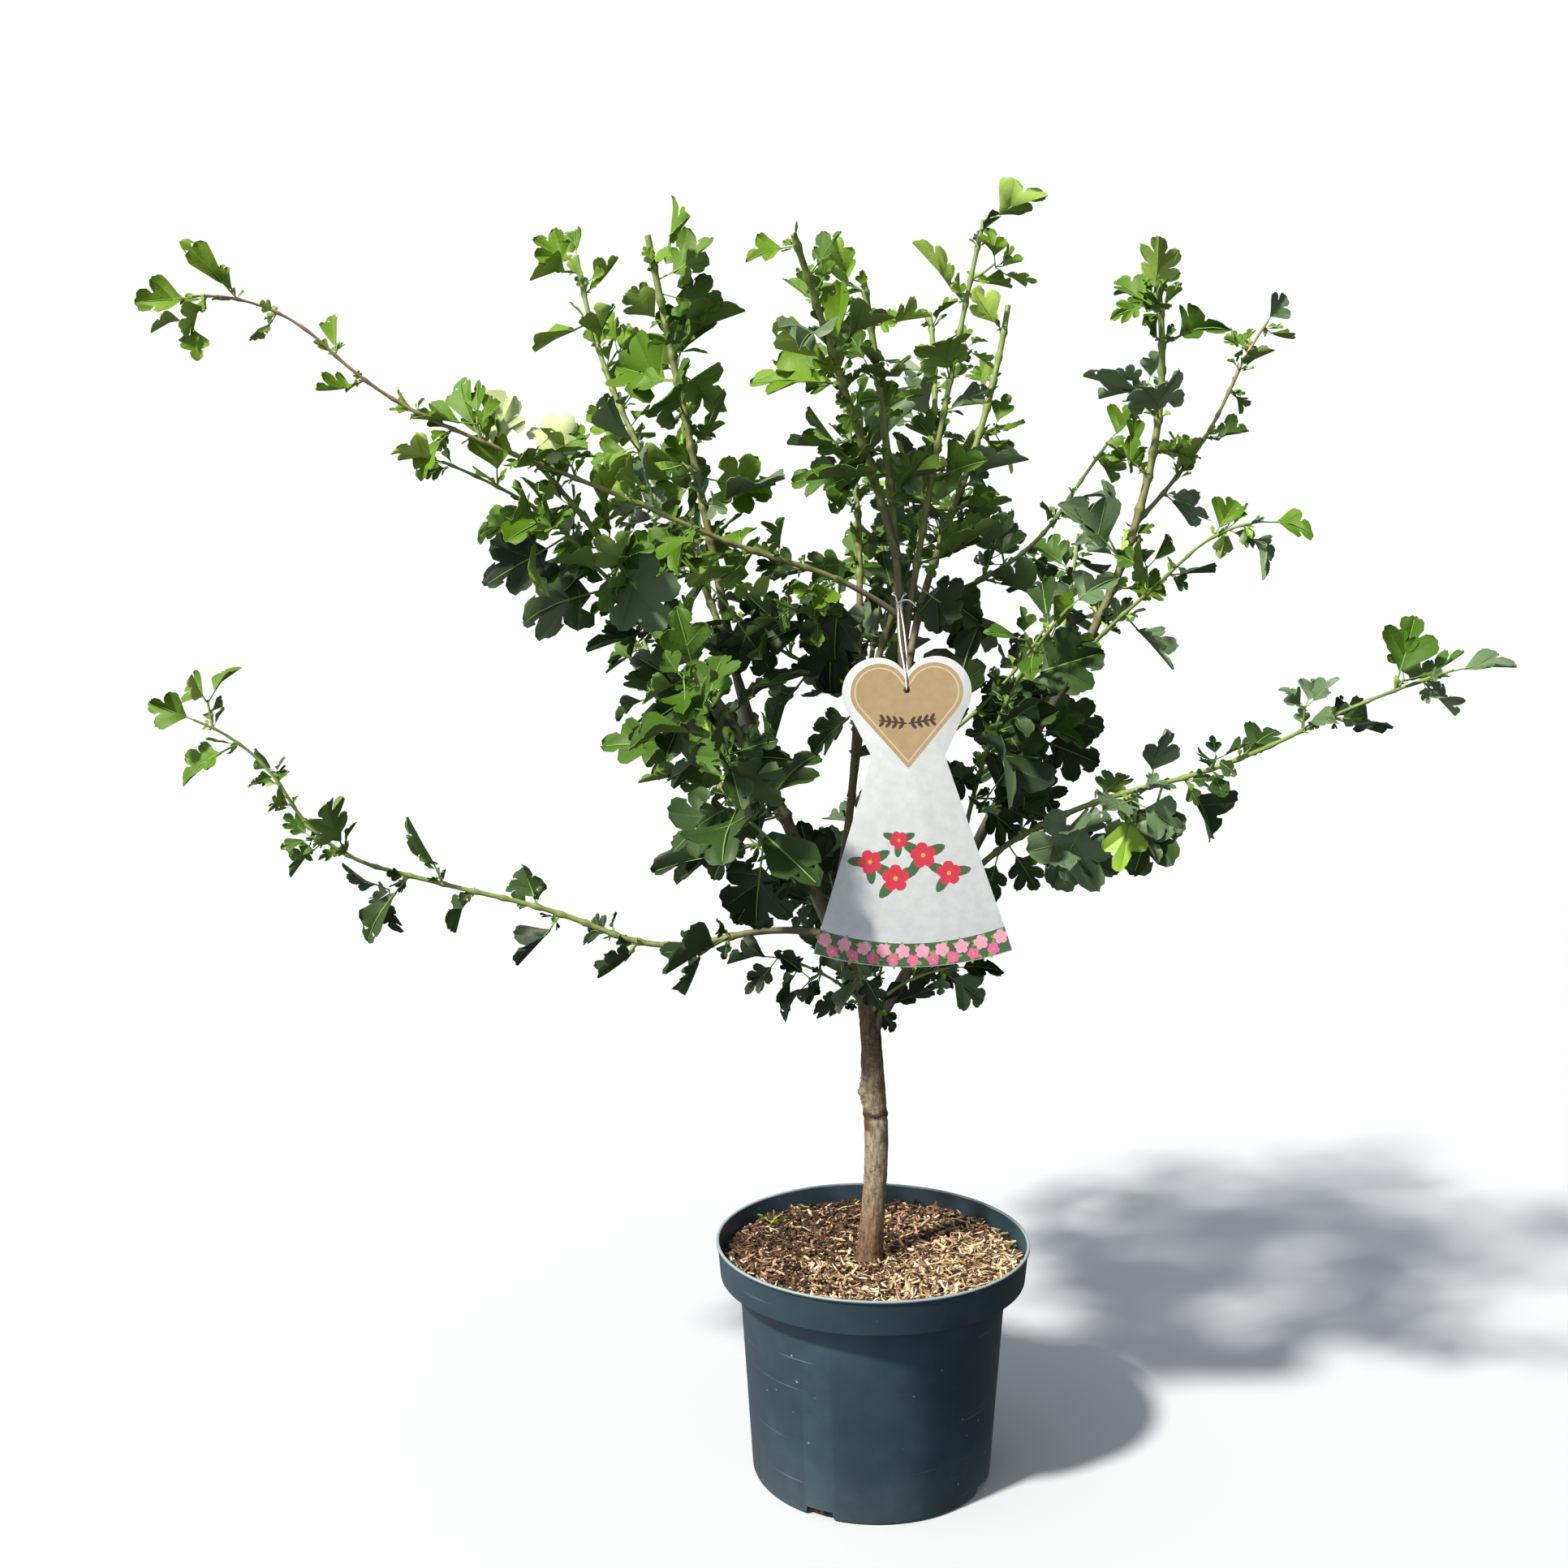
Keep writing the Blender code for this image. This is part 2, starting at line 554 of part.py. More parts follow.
class Mass:
    """One mass of leaves: a stem, its spurs and leaves, each kept clear of what is taken."""

    def __init__(self, name, stem, taken, leaf_mesh, finish):
        self.stems = [stem]
        self.taken = taken
        self.leaf_mesh = leaf_mesh
        self.finish = finish
        self.parts = []
        self.rng = random.Random("hawthorn " + name)

    def add_leaf(self, root, way, length, own):
        """Place one leaf if there is room for it, and say whether there was."""
        face_up = LEAF_LIGHT + LEAF_OUTWARD * Vector((root.x, root.y, 0)).normalized()
        face_up += Vector([self.rng.uniform(-LEAF_SCATTER, LEAF_SCATTER) for _ in range(3)])
        piece = bpy.data.objects.new("leaf", self.leaf_mesh)
        piece.matrix_world = leaf_frame(root, way, face_up, length)
        if is_clear(world_tree(piece, CLEARANCE), self.taken, own):
            bpy.context.collection.objects.link(piece)
            self.taken.append((piece, world_tree(piece)))
            self.parts.append(piece)
            return True
        bpy.data.objects.remove(piece)
        return False

    def add_leaf_round(self, root, stem_way, turn, lean, length, own):
        """Try a leaf at a turn round the stem, and then at other turns."""
        for attempt in range(LEAF_TRIES):
            way = leaning(stem_way, turn + attempt * RETRY_TURN, lean)
            if self.add_leaf(root, way, length, own):
                return

    def add_spur(self, root, way, number, size):
        """Grow a short spur with a tuft of leaves at its tip."""
        length = self.rng.uniform(*SPUR_LENGTHS)
        tip = root + way * length
        spur_path = [root.lerp(tip, step / 2) for step in range(3)]
        spur = add_object("spur", limb_mesh(spur_path, 0, 1, SPUR_DIAMETERS, 3), self.finish)
        if not is_clear(world_tree(spur, CLEARANCE), self.taken, self.stems):
            bpy.data.objects.remove(spur)
            return
        self.taken.append((spur, world_tree(spur)))
        self.parts.append(spur)
        root = root.lerp(tip, SPUR_LEAVES_AT)
        for leaf in range(SPUR_LEAVES):
            turn = number * DIVERGENCE + leaf * 360 / SPUR_LEAVES
            lean = self.rng.uniform(*TUFT_LEANS)
            self.add_leaf_round(root, way, turn, lean, size * self.rng.uniform(*TUFT_SIZES), (spur,))

    def clothe(self, path, start, leaf, carrier):
        """Set leaves and spurs along one stem, from a share of its path to its tip."""
        step = NODE_STEP / sum((b - a).length for a, b in zip(path, path[1:]))
        share = start + step / 2
        number = self.rng.randrange(100)
        while share < 1 - step / 4:
            root = point_on(path, share)
            way = way_on(path, share)
            turn = number * DIVERGENCE + self.rng.uniform(-TURN_SCATTER, TURN_SCATTER)
            size = leaf * MM * self.rng.uniform(*LEAF_SIZES) * between(LEAF_GROWTH, share)
            lean = self.rng.uniform(*LEAF_LEANS)
            if number % SPUR_EVERY == 0:
                self.add_spur(root, leaning(way, turn, SPUR_LEAN), number, size)
            else:
                self.add_leaf_round(root, way, turn, lean, size, (carrier,))
            number += 1
            share += step * self.rng.uniform(*STEP_SCATTER)


def leaning(way, turn, lean):
    """Give the direction that leans out of a stem's own, at a turn round it, in degrees."""
    flat = way.cross(UP)
    if flat.length < FLAT_ENOUGH:
        flat = Vector((1, 0, 0))
    flat.normalize()
    angle = math.radians(turn)
    out = flat * math.cos(angle) + flat.cross(way) * math.sin(angle)
    return (way * math.cos(math.radians(lean)) + out * math.sin(math.radians(lean))).normalized()


def main():
    for old in list(bpy.data.objects):
        bpy.data.objects.remove(old)
    plastic = material("pot_plastic", (0.035, 0.065, 0.08), 0.45)
    mulch = material("bark_mulch", (0.24, 0.14, 0.08), 0.9)
    bark = material("bark", (0.20, 0.15, 0.10), 0.8)
    green = material("leafy_green", (0.09, 0.19, 0.05), 0.5)
    card = material("label_card", (0.75, 0.74, 0.70), 0.4)
    twine = material("label_twine", (0.85, 0.85, 0.82), 0.7)

    pot = build_pot(plastic)
    compost = build_compost(mulch)
    trunk_path = grow_path(TRUNK_FOOT, TRUNK_TURNS, TRUNK_RISES, TRUNK_LENGTH)
    trunk = build_trunk(trunk_path, bark)
    label = build_label(card)

    # Boughs, each cut clear of the limbs that were there before it
    paths = {"trunk": trunk_path}
    limbs = {"trunk": (trunk_path, 0, 1, TRUNK_DIAMETERS, TRUNK_SIDES)}
    boughs = []
    for shoot in SHOOTS:
        foot = point_on(paths[shoot.carrier], shoot.at)
        path = grow_path(foot, shoot.turns, shoot.rises, shoot.length * MM)
        paths[shoot.name] = path
        if shoot.bare:
            shape = (path, 0, shoot.bare / shoot.length, (shoot.foot, shoot.tip), BOUGH_SIDES)
            bough = add_object("bough_" + shoot.name, limb_mesh(*shape), bark, smooth=True)
            cut_clear(bough, limbs.values(), bark)
            limbs[shoot.name] = shape
            boughs.append(bough)
    centre = next(shoot for shoot in SHOOTS if shoot.name == "centre")
    string = build_string(paths["centre"], (centre.foot, centre.tip), twine)

    # Stems of the masses, from 0.3 mm beyond their bough's tip or off the trunk
    bm = label_slab(LABEL_THICKNESS, LABEL_VIEW_DEPTH)
    label_view = add_object("label_view", bm, card)
    in_the_way = [pot, compost, trunk, label, string, label_view, *boughs]
    taken = [(piece, world_tree(piece)) for piece in in_the_way]
    stems = {}
    for shoot in SHOOTS:
        start = (shoot.bare * MM + GAP) / (shoot.length * MM) if shoot.bare else 0
        shape = (paths[shoot.name], start, 1, (shoot.foot, shoot.tip), STEM_SIDES)
        stem = add_object("leaves_" + shoot.name, limb_mesh(*shape), green)
        if not shoot.bare:
            cut_clear(stem, limbs.values(), bark)
        taken.append((stem, world_tree(stem)))
        stems[shoot.name] = stem
    sides = {}
    for name, side in SIDE_SHOOTS.items():
        path = grow_path(point_on(paths[name], side.at), side.turns, side.rises, side.length * MM)
        paths[side.name] = path
        stem = add_object(side.name, limb_mesh(path, 0, 1, (side.foot, side.tip), 3), green)
        taken.append((stem, world_tree(stem)))
        sides[name] = stem

    # Leaves
    pattern = add_object("leaf_pattern", leaf_bmesh(), green)
    total = 0
    for shoot in SHOOTS:
        stem = stems[shoot.name]
        mass = Mass(shoot.name, stem, taken, pattern.data, green)
        tip = point_on(paths[shoot.name], TOP_LEAF_AT)
        if shoot.name == "tallest":
            top = heading_vector(TOP_LEAF_HEADING, TOP_LEAF_RISE)
            mass.add_leaf(tip, top, TOP_LEAF_LENGTH, (stem,))
        if not shoot.pruned:
            mass.add_leaf(tip, way_on(paths[shoot.name], 1), shoot.leaf * MM * TIP_LEAF_SIZE, (stem,))
        mass.clothe(paths[shoot.name], shoot.bare / shoot.length, shoot.leaf, stem)
        if shoot.name in SIDE_SHOOTS:
            side = SIDE_SHOOTS[shoot.name]
            mass.stems = [sides[shoot.name]]
            mass.clothe(paths[side.name], 0, side.leaf, sides[shoot.name])
            mass.parts.append(sides[shoot.name])
        leaves = sum(part.data == pattern.data for part in mass.parts)
        total += leaves
        print(shoot.name, "leaves", leaves)
        taken[:] = [(piece, tree) for piece, tree in taken if piece not in mass.parts]
        combine(stem, mass.parts, "UNION")
        taken[:] = [(piece, tree) for piece, tree in taken if piece is not stem]
        taken.append((stem, world_tree(stem)))
    print("leaves in all", total)
    bpy.data.objects.remove(pattern)
    bpy.data.objects.remove(label_view)


main()
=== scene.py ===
# Potted hawthorn: the looks of the plant, its pot, mulch and hanging label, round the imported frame.
# Metres, +Z up, seen from -Y with +X to the right. Sizes in the dictionaries are in
# millimetres and angles in degrees, unless a note says otherwise.
import math
import random
from collections import namedtuple

import bmesh
import bpy
import numpy as np
from mathutils import Matrix, Vector, noise
from mathutils.bvhtree import BVHTree


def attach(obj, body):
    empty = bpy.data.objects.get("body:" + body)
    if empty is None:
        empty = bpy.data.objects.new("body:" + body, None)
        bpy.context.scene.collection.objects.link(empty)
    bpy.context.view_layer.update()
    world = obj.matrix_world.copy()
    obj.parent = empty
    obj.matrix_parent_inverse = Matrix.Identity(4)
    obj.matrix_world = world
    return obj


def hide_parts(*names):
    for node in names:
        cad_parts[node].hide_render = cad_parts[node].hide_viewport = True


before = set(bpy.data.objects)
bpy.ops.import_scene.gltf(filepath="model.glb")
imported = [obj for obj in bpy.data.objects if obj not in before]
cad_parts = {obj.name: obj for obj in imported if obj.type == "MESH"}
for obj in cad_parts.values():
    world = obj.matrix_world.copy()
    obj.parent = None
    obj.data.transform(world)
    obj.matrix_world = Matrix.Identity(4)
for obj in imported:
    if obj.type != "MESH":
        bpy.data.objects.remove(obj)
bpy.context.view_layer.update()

mm = 0.001
up = Vector((0, 0, 1))
body = "root"
scene = bpy.context.scene


# Small tools

def linear(hexColour):
    values = [int(hexColour[place:place + 2], 16) / 255 for place in (1, 3, 5)]
    return [value / 12.92 if value < 0.04045 else ((value + 0.055) / 1.055) ** 2.4
            for value in values] + [1.0]


def addNode(tree, kind, *values, stops=(), **named):        # values go to the inputs in their order
    node = tree.nodes.new("ShaderNode" + kind)
    for name, value in [*named.items(), *enumerate(values)]:
        if name in named and name not in node.inputs:        # a setting of the node, not an input
            setattr(node, name, value)
            continue
        if isinstance(value, bpy.types.Node):
            value = value.outputs[0]
        if isinstance(value, bpy.types.NodeSocket):
            tree.links.new(value, node.inputs[name])
        else:
            node.inputs[name].default_value = linear(value) if isinstance(value, str) else value
    for number, (place, tone) in enumerate(stops):
        ramp = node.color_ramp.elements
        stop = ramp[number] if number < 2 else ramp.new(place)
        stop.position = place
        stop.color = linear(tone) if isinstance(tone, str) else (tone, tone, tone, 1)
    return node


def newMaterial(name, colour, roughness, specular, wrapped=False):
    finish = bpy.data.materials.new(name)
    finish.use_nodes = True
    tree = finish.node_tree
    plain = {"Base Color": linear(colour), "Roughness": roughness, "Specular IOR Level": specular}
    for socket, value in plain.items():
        tree.nodes["Principled BSDF"].inputs[socket].default_value = value
    if wrapped:
        return finish, tree, addNode(tree, "Attribute", attribute_name="wrap").outputs["Vector"]
    return finish, tree, addNode(tree, "TexCoord").outputs["Object"]


def feed(finish, colour=None, normal=None, roughness=None):
    tree = finish.node_tree
    for socket, node in (("Base Color", colour), ("Normal", normal), ("Roughness", roughness)):
        if node:
            tree.links.new(node.outputs[0], tree.nodes["Principled BSDF"].inputs[socket])
    return finish


def addObject(name, data):
    made = bpy.data.objects.new(name, data)
    scene.collection.objects.link(made)
    return made


def dress(name, shape, materials, replaced=(), sharpAngle=40):
    mesh = toMesh(name, shape) if isinstance(shape, bmesh.types.BMesh) else shape
    for finish in materials:
        mesh.materials.append(finish)
    mesh.shade_smooth()
    mesh.set_sharp_from_angle(angle=math.radians(sharpAngle))
    piece = addObject(name, mesh)
    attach(piece, body)
    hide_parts(*replaced)
    print(name, len(mesh.polygons), "faces")
    return piece


def toMesh(name, bm):
    mesh = bpy.data.meshes.new(name)
    bm.to_mesh(mesh)
    bm.free()
    return mesh


def outward(bm):
    bmesh.ops.recalc_face_normals(bm, faces=bm.faces[:])
    return bm


def evaluated(thing):
    return bpy.data.meshes.new_from_object(thing.evaluated_get(bpy.context.evaluated_depsgraph_get()))


def carve(mesh, cutterMesh):
    base, cutter = addObject("carved", mesh), addObject("cutter", cutterMesh)
    boolean = base.modifiers.new("Cut", "BOOLEAN")
    boolean.operation = "DIFFERENCE"
    boolean.object = cutter
    result = evaluated(base)
    bpy.data.objects.remove(base)
    bpy.data.objects.remove(cutter)
    return result


# Paths, by the same rule as the solids

def headingVector(heading, rise):
    turn, lift = math.radians(heading), math.radians(rise)
    return Vector((math.cos(lift) * math.cos(turn), math.cos(lift) * math.sin(turn), math.sin(lift)))


def between(values, share):
    place = min(max(share, 0.0), 1.0) * (len(values) - 1)
    low = min(int(place), len(values) - 2)
    return values[low] + (values[low + 1] - values[low]) * (place - low)


def growPath(foot, turns, rises, length, steps=60):
    points = [foot.copy()]
    for step in range(steps):
        share = (step + 0.5) / steps
        way = headingVector(between(turns, share), between(rises, share))
        points.append(points[-1] + way * (length / steps))
    return points


def pointOn(path, share):
    place = min(max(share, 0.0), 1.0) * (len(path) - 1)
    low = min(int(place), len(path) - 2)
    return path[low].lerp(path[low + 1], place - low)


def wayOn(path, share):
    low = min(int(min(max(share, 0.0), 1.0) * (len(path) - 1)), len(path) - 2)
    return (path[low + 1] - path[low]).normalized()


def leaning(way, turn, lean):
    flat = way.cross(up)
    if flat.length < 0.05:        # a shoot that stands straight up has no side of its own
        flat = Vector((1, 0, 0))
    flat.normalize()
    angle = math.radians(turn)
    out = flat * math.cos(angle) + flat.cross(way) * math.sin(angle)
    return (way * math.cos(math.radians(lean)) + out * math.sin(math.radians(lean))).normalized()


# A limb: a grid wrapped round a path, its seam merged and its ends closed. It carries two
# attributes for the bark: "wrap" is the place on the limb as if it stood straight, in metres,
# and "age" is 1 on old wood and 0 on this year's green shoots.

def wrapLimb(bm, path, start, end, radiusAt, ageAt, sides, step, relief=None):
    length = sum((b - a).length for a, b in zip(path, path[1:])) * (end - start)
    rings = max(3, round(length / step))
    wrap = bm.verts.layers.float_vector.get("wrap") or bm.verts.layers.float_vector.new("wrap")
    age = bm.verts.layers.float.get("age") or bm.verts.layers.float.new("age")
    made = bmesh.ops.create_grid(bm, x_segments=sides, y_segments=rings, size=0.5)["verts"]
    frames = {}
    for vert in made:
        ring = round((vert.co.y + 0.5) * rings)
        turn = math.tau * (vert.co.x + 0.5)
        if ring not in frames:
            share = start + (end - start) * ring / rings
            turned = up.rotation_difference(wayOn(path, share))
            frames[ring] = (share, pointOn(path, share), turned, radiusAt(share), ageAt(share))
        share, place, turned, radius, old = frames[ring]
        along = share * length / (end - start)
        flat = Vector((math.cos(turn), math.sin(turn), 0))
        if relief:
            radius += relief(share, turn, flat * radius + up * along)
        vert[wrap] = flat * radius + up * along
        vert[age] = old
        vert.co = place + turned @ (flat * radius)
    bmesh.ops.remove_doubles(bm, verts=made, dist=0.02 * mm)
    edges = {edge for vert in made if vert.is_valid for edge in vert.link_edges if edge.is_boundary}
    return bmesh.ops.edgeloop_fill(bm, edges=list(edges))["faces"]


# Pot: a nursery's growing pot, turned, with a deeper collar and drain notches at its foot

potSizes = {
    "height": 188, "rimRadius": 123.5, "collarDepth": 28, "collarFootRadius": 120.3,
    "bodyTopRadius": 105.5, "footRadius": 95, "footRound": 3, "wall": 2, "floor": 3,
    "footChamfer": 0.9, "lipDepth": 2.6, "lipProud": 0.9, "edgeRound": 0.8, "segments": 144,
    "drainWidth": 27, "drainTopWidth": 21, "drainHeight": 7, "drainDepth": 12,
    "drainHeadings": (-114, -24, 66, 156),
}


def mouldedPolypropylene():
    # Dark blue-grey recycled plastic: dull, a little dusty, rubbed in fine level scratches
    finish, tree, place = newMaterial("moulded_polypropylene", "#24323a", 0.5, 0.3)
    height = addNode(tree, "SeparateXYZ", place).outputs["Z"]
    cloud = addNode(tree, "TexNoise", Vector=place, Scale=14, Detail=5, Roughness=0.6)    # 70 mm clouds
    tone = addNode(tree, "ValToRGB", cloud, stops=((0.3, "#1a2b34"), (0.5, "#20333d"), (0.72, "#293f4a")))
    specks = addNode(tree, "TexVoronoi", Vector=place, Scale=75)    # dust grains, drawn 1 mm wide
    grain = addNode(tree, "ValToRGB", specks, stops=((0.05, 1), (0.085, 0)))
    patches = addNode(tree, "TexNoise", Vector=place, Scale=22, Detail=2)    # dusty every 45 mm
    patchy = addNode(tree, "ValToRGB", patches, stops=((0.5, 0), (0.62, 1)))
    dust = addNode(tree, "Math", grain, patchy, operation="MULTIPLY")
    stretched = addNode(tree, "Mapping", place, Scale=(9, 9, 620))    # level scratches, 1.6 mm apart
    lines = addNode(tree, "TexNoise", Vector=stretched, Scale=1, Detail=1)
    scratch = addNode(tree, "ValToRGB", lines, stops=((0.7, 0), (0.76, 1)))
    rubbed = addNode(tree, "Math", scratch, patchy, operation="MULTIPLY")
    low = addNode(tree, "MapRange", height, 0.05, 0.0)    # soil splashed on the lowest 50 mm
    splash = addNode(tree, "Math", low, cloud, operation="MULTIPLY")
    veil = addNode(tree, "Math", splash, 0.16, operation="MULTIPLY")
    rub = addNode(tree, "Math", rubbed, 0.22, veil, operation="MULTIPLY_ADD")
    dusty = addNode(tree, "Math", dust, 0.75, rub, operation="MULTIPLY_ADD", use_clamp=True)
    dusted = addNode(tree, "MixRGB", dusty, tone, "#8d9796")
    edge = addNode(tree, "MapRange", height, 0.1866, 0.1874)    # the rim's top edge is painted pale: a painted highlight where it catches the sky, and a little dust
    # painted highlight: the pale rim edge is mixed over the plastic's colour
    colour = addNode(tree, "MixRGB", edge, dusted, "#75848a")
    rough = addNode(tree, "MapRange", cloud, 0.3, 0.7, 0.42, 0.58)
    texture = addNode(tree, "TexNoise", Vector=place, Scale=900, Detail=2)    # 1 mm mould texture
    bump = addNode(tree, "Bump", Height=texture, Strength=0.12, Distance=0.2 * mm)
    return feed(finish, colour, bump, rough)


def spun(profile, segments):
    bm = bmesh.new()
    verts = [bm.verts.new((radius * mm, 0, height * mm)) for radius, height in profile]
    edges = [bm.edges.new(pair) for pair in zip(verts, verts[1:])]
    bmesh.ops.spin(bm, geom=verts + edges, cent=(0, 0, 0), axis=(0, 0, 1), angle=math.tau,
                   steps=segments, use_merge=True)
    bmesh.ops.remove_doubles(bm, verts=bm.verts[:], dist=0.01 * mm)
    return outward(bm)


def makePot():
    size = potSizes
    height, wall, rim = size["height"], size["wall"], size["rimRadius"]
    foot, top, collar = size["footRadius"], size["bodyTopRadius"], size["collarFootRadius"]
    shelf = height - size["collarDepth"]
    lip, proud = height - size["lipDepth"], rim + size["lipProud"] / 2
    chamfer = size["footChamfer"]
    profile = (
        (0, 0), (foot - size["footRound"], 0), (foot - chamfer, chamfer), (foot, size["footRound"]),
        (top, shelf), (collar, shelf), (rim - size["lipProud"], lip), (proud, lip), (proud, height),
        (rim - wall, height), (collar - wall, shelf + wall), (top - wall, shelf + wall),
        (foot - wall, size["floor"]), (0, size["floor"]),
    )
    bm = spun(profile, size["segments"])
    corners = [edge for edge in bm.edges
               if edge.calc_face_angle(0) > math.radians(35) and edge.verts[0].co.z > 20 * mm]
    bmesh.ops.bevel(bm, geom=corners, offset=size["edgeRound"] * mm, offset_type="OFFSET", segments=3,
                    profile=0.5, affect="EDGES", material=-1)
    cutters = bmesh.new()
    middle = Matrix.Translation(((foot - size["drainDepth"] / 4) * mm, 0, 0))
    sides = [side * mm for side in (size["drainDepth"], size["drainWidth"], 2 * size["drainHeight"])]
    for heading in size["drainHeadings"]:
        cube = bmesh.ops.create_cube(cutters, size=1)["verts"]
        for vert in cube:
            if vert.co.z > 0:
                vert.co.y *= size["drainTopWidth"] / size["drainWidth"]
        turned = Matrix.Rotation(math.radians(heading), 4, "Z")
        bmesh.ops.transform(cutters, matrix=turned @ middle @ Matrix.Diagonal((*sides, 1)), verts=cube)
    mesh = carve(toMesh("pot", bm), toMesh("drains", cutters))
    return dress("growing_pot", mesh, [mouldedPolypropylene()], ["pot"], 28)


# Mulch: the CAD root ball under loose shreds and chips of bark

mulchSizes = {
    "chips": 6400, "lengths": (4, 15), "shorten": (0.5, 1), "widths": (0.8, 2.5), "thickness": (0.35, 0.9),
    "edge": 119, "trunkRadius": 11.5, "layers": 3.2, "lie": (0, 24), "stickUp": (25, 62),
    "stickUpShare": 0.07, "roll": (-0.5, 0.5), "bend": 0.22, "clear": 0.5,
    "patterns": ((0.3, 1), (0.7, 2), (0.1, 1)),        # how much a chip narrows to its ends, and its cuts
}
mulchTones = {  # name: colour, roughness, share at the sunny front right, share at the back left; the shares paint light and shade, pale chips where the sun falls and dark ones in the shade behind
    "straw": ("#b3a081", 0.8, 0.27, 0.04), "tan": ("#8d765a", 0.85, 0.32, 0.08),
    "brown": ("#5f4837", 0.9, 0.20, 0.26), "red_brown": ("#4c3428", 0.9, 0.08, 0.2),
    "dark": ("#2a201a", 0.95, 0.06, 0.42), "pale": ("#c9bfa8", 0.75, 0.07, 0.02),
    "orange": ("#b9772c", 0.8, 0.002, 0.0),
}


def shreddedBark(name, colour, roughness):
    # Torn softwood bark and heartwood: dull, with fibres along it in light and dark streaks
    finish, tree, place = newMaterial("shredded_bark_" + name, colour, roughness, 0.25)
    fibre = addNode(tree, "TexNoise", Vector=place, Scale=420, Detail=3)    # fibres in 2 mm blotches
    value = addNode(tree, "MapRange", fibre, 0.3, 0.7, 0.62, 1.3)
    streak = addNode(tree, "HueSaturation", Color=colour, Value=value)
    bump = addNode(tree, "Bump", Height=fibre, Strength=0.4, Distance=0.4 * mm)
    return feed(finish, streak, bump)


def dampCompost():
    # Damp peat-free compost between the chips: nearly black, crumbly
    finish, tree, place = newMaterial("damp_compost", "#2c1e16", 0.95, 0.2)
    crumbs = addNode(tree, "TexNoise", Vector=place, Scale=260, Detail=6)    # 4 mm crumbs
    tone = addNode(tree, "ValToRGB", crumbs, stops=((0.32, "#1a110c"), (0.52, "#3a281c"), (0.7, "#6b4a30")))
    bump = addNode(tree, "Bump", Height=crumbs, Strength=0.8, Distance=1.5 * mm)
    return feed(finish, tone, bump)


def meshArrays(bm):
    bmesh.ops.triangulate(bm, faces=bm.faces[:])
    points = np.array([vert.co[:] for vert in bm.verts])
    faces = np.array([[vert.index for vert in face.verts] for face in bm.faces])
    slots = np.array([face.material_index for face in bm.faces])
    bm.free()
    return points, faces, slots


def joinCopies(name, copies):
    starts = np.cumsum([0] + [len(points) for points, _, _ in copies])
    points = np.concatenate([points for points, _, _ in copies])
    faces = np.concatenate([faces + start for (_, faces, _), start in zip(copies, starts)])
    slots = np.concatenate([slots for _, _, slots in copies])
    mesh = bpy.data.meshes.new(name)
    mesh.from_pydata(points.tolist(), [], faces.tolist())
    mesh.polygons.foreach_set("material_index", slots.astype(np.int32))
    mesh.update()
    return mesh


def chipPattern(taper, cuts):
    bm = bmesh.new()
    bmesh.ops.create_cube(bm, size=1)
    long = [edge for edge in bm.edges if abs(edge.verts[0].co.x - edge.verts[1].co.x) > 0.5]
    bmesh.ops.subdivide_edges(bm, edges=long, cuts=cuts)
    for vert in bm.verts:
        narrowing = 1 - taper * abs(2 * vert.co.x) ** 2
        vert.co.y *= narrowing
        vert.co.z *= narrowing
    return meshArrays(bm)


def makeMulch(soil):
    size = mulchSizes
    rng = random.Random("mulch chips")
    patterns = [chipPattern(*pattern) for pattern in size["patterns"]]
    ground = BVHTree.FromPolygons([vert.co[:] for vert in soil.data.vertices],
                                  [face.vertices[:] for face in soil.data.polygons])
    stem = Vector((trunkPath[0].x, trunkPath[0].y, 0))
    edge = size["edge"] * mm
    copies = []
    tones = list(mulchTones.values())
    while len(copies) < size["chips"]:
        reach = edge * math.sqrt(rng.random())
        place = headingVector(rng.uniform(-180, 180), 0) * reach
        if (place - stem).length < size["trunkRadius"] * mm:
            continue
        hit = ground.ray_cast(place + up * 0.3, -up)[0]
        length = rng.uniform(*size["lengths"]) * rng.uniform(*size["shorten"])
        width = rng.uniform(*size["widths"])
        if reach + length * mm / 2 > edge:
            continue
        # painted light and shade: paler chips are dealt out where the sun falls at the front right, darker
        # ones where shade falls at the back left
        sunny = min(max(0.5 + (place.x * 0.9 - place.y * 0.8) / 0.17, 0), 1)
        weights = [back + (front - back) * sunny for _, _, front, back in tones]
        tone = rng.choices(range(len(tones)), weights)[0]
        tilt = rng.uniform(*size["stickUp" if rng.random() < size["stickUpShare"] else "lie"])
        lift = size["clear"] + size["layers"] * rng.random() ** 1.5
        lift += math.sin(math.radians(tilt)) * length * 0.35
        turned = Matrix.Rotation(rng.uniform(0, math.tau), 3, "Z")
        turned = turned @ Matrix.Rotation(-math.radians(tilt), 3, "Y")
        turned = turned @ Matrix.Rotation(rng.uniform(*size["roll"]), 3, "X")
        points, faces, slots = patterns[rng.randrange(len(patterns))]
        shaped = points * np.array((length, width, rng.uniform(*size["thickness"]))) * mm
        for axis in (2, 1):
            shaped[:, axis] += rng.uniform(-1, 1) * size["bend"] * length * mm * (points[:, 0] ** 2)
        placed = shaped @ np.array(turned).T + np.array(hit + up * (lift * mm))
        copies.append((placed, faces, slots + tone))
    finishes = [shreddedBark(name, colour, rough) for name, (colour, rough, _, _) in mulchTones.items()]
    return dress("bark_chips", joinCopies("bark_chips", copies), finishes, sharpAngle=30)


# Trunk and boughs

Shoot = namedtuple("Shoot", "name carrier at turns rises length bare foot tip leaf pruned")

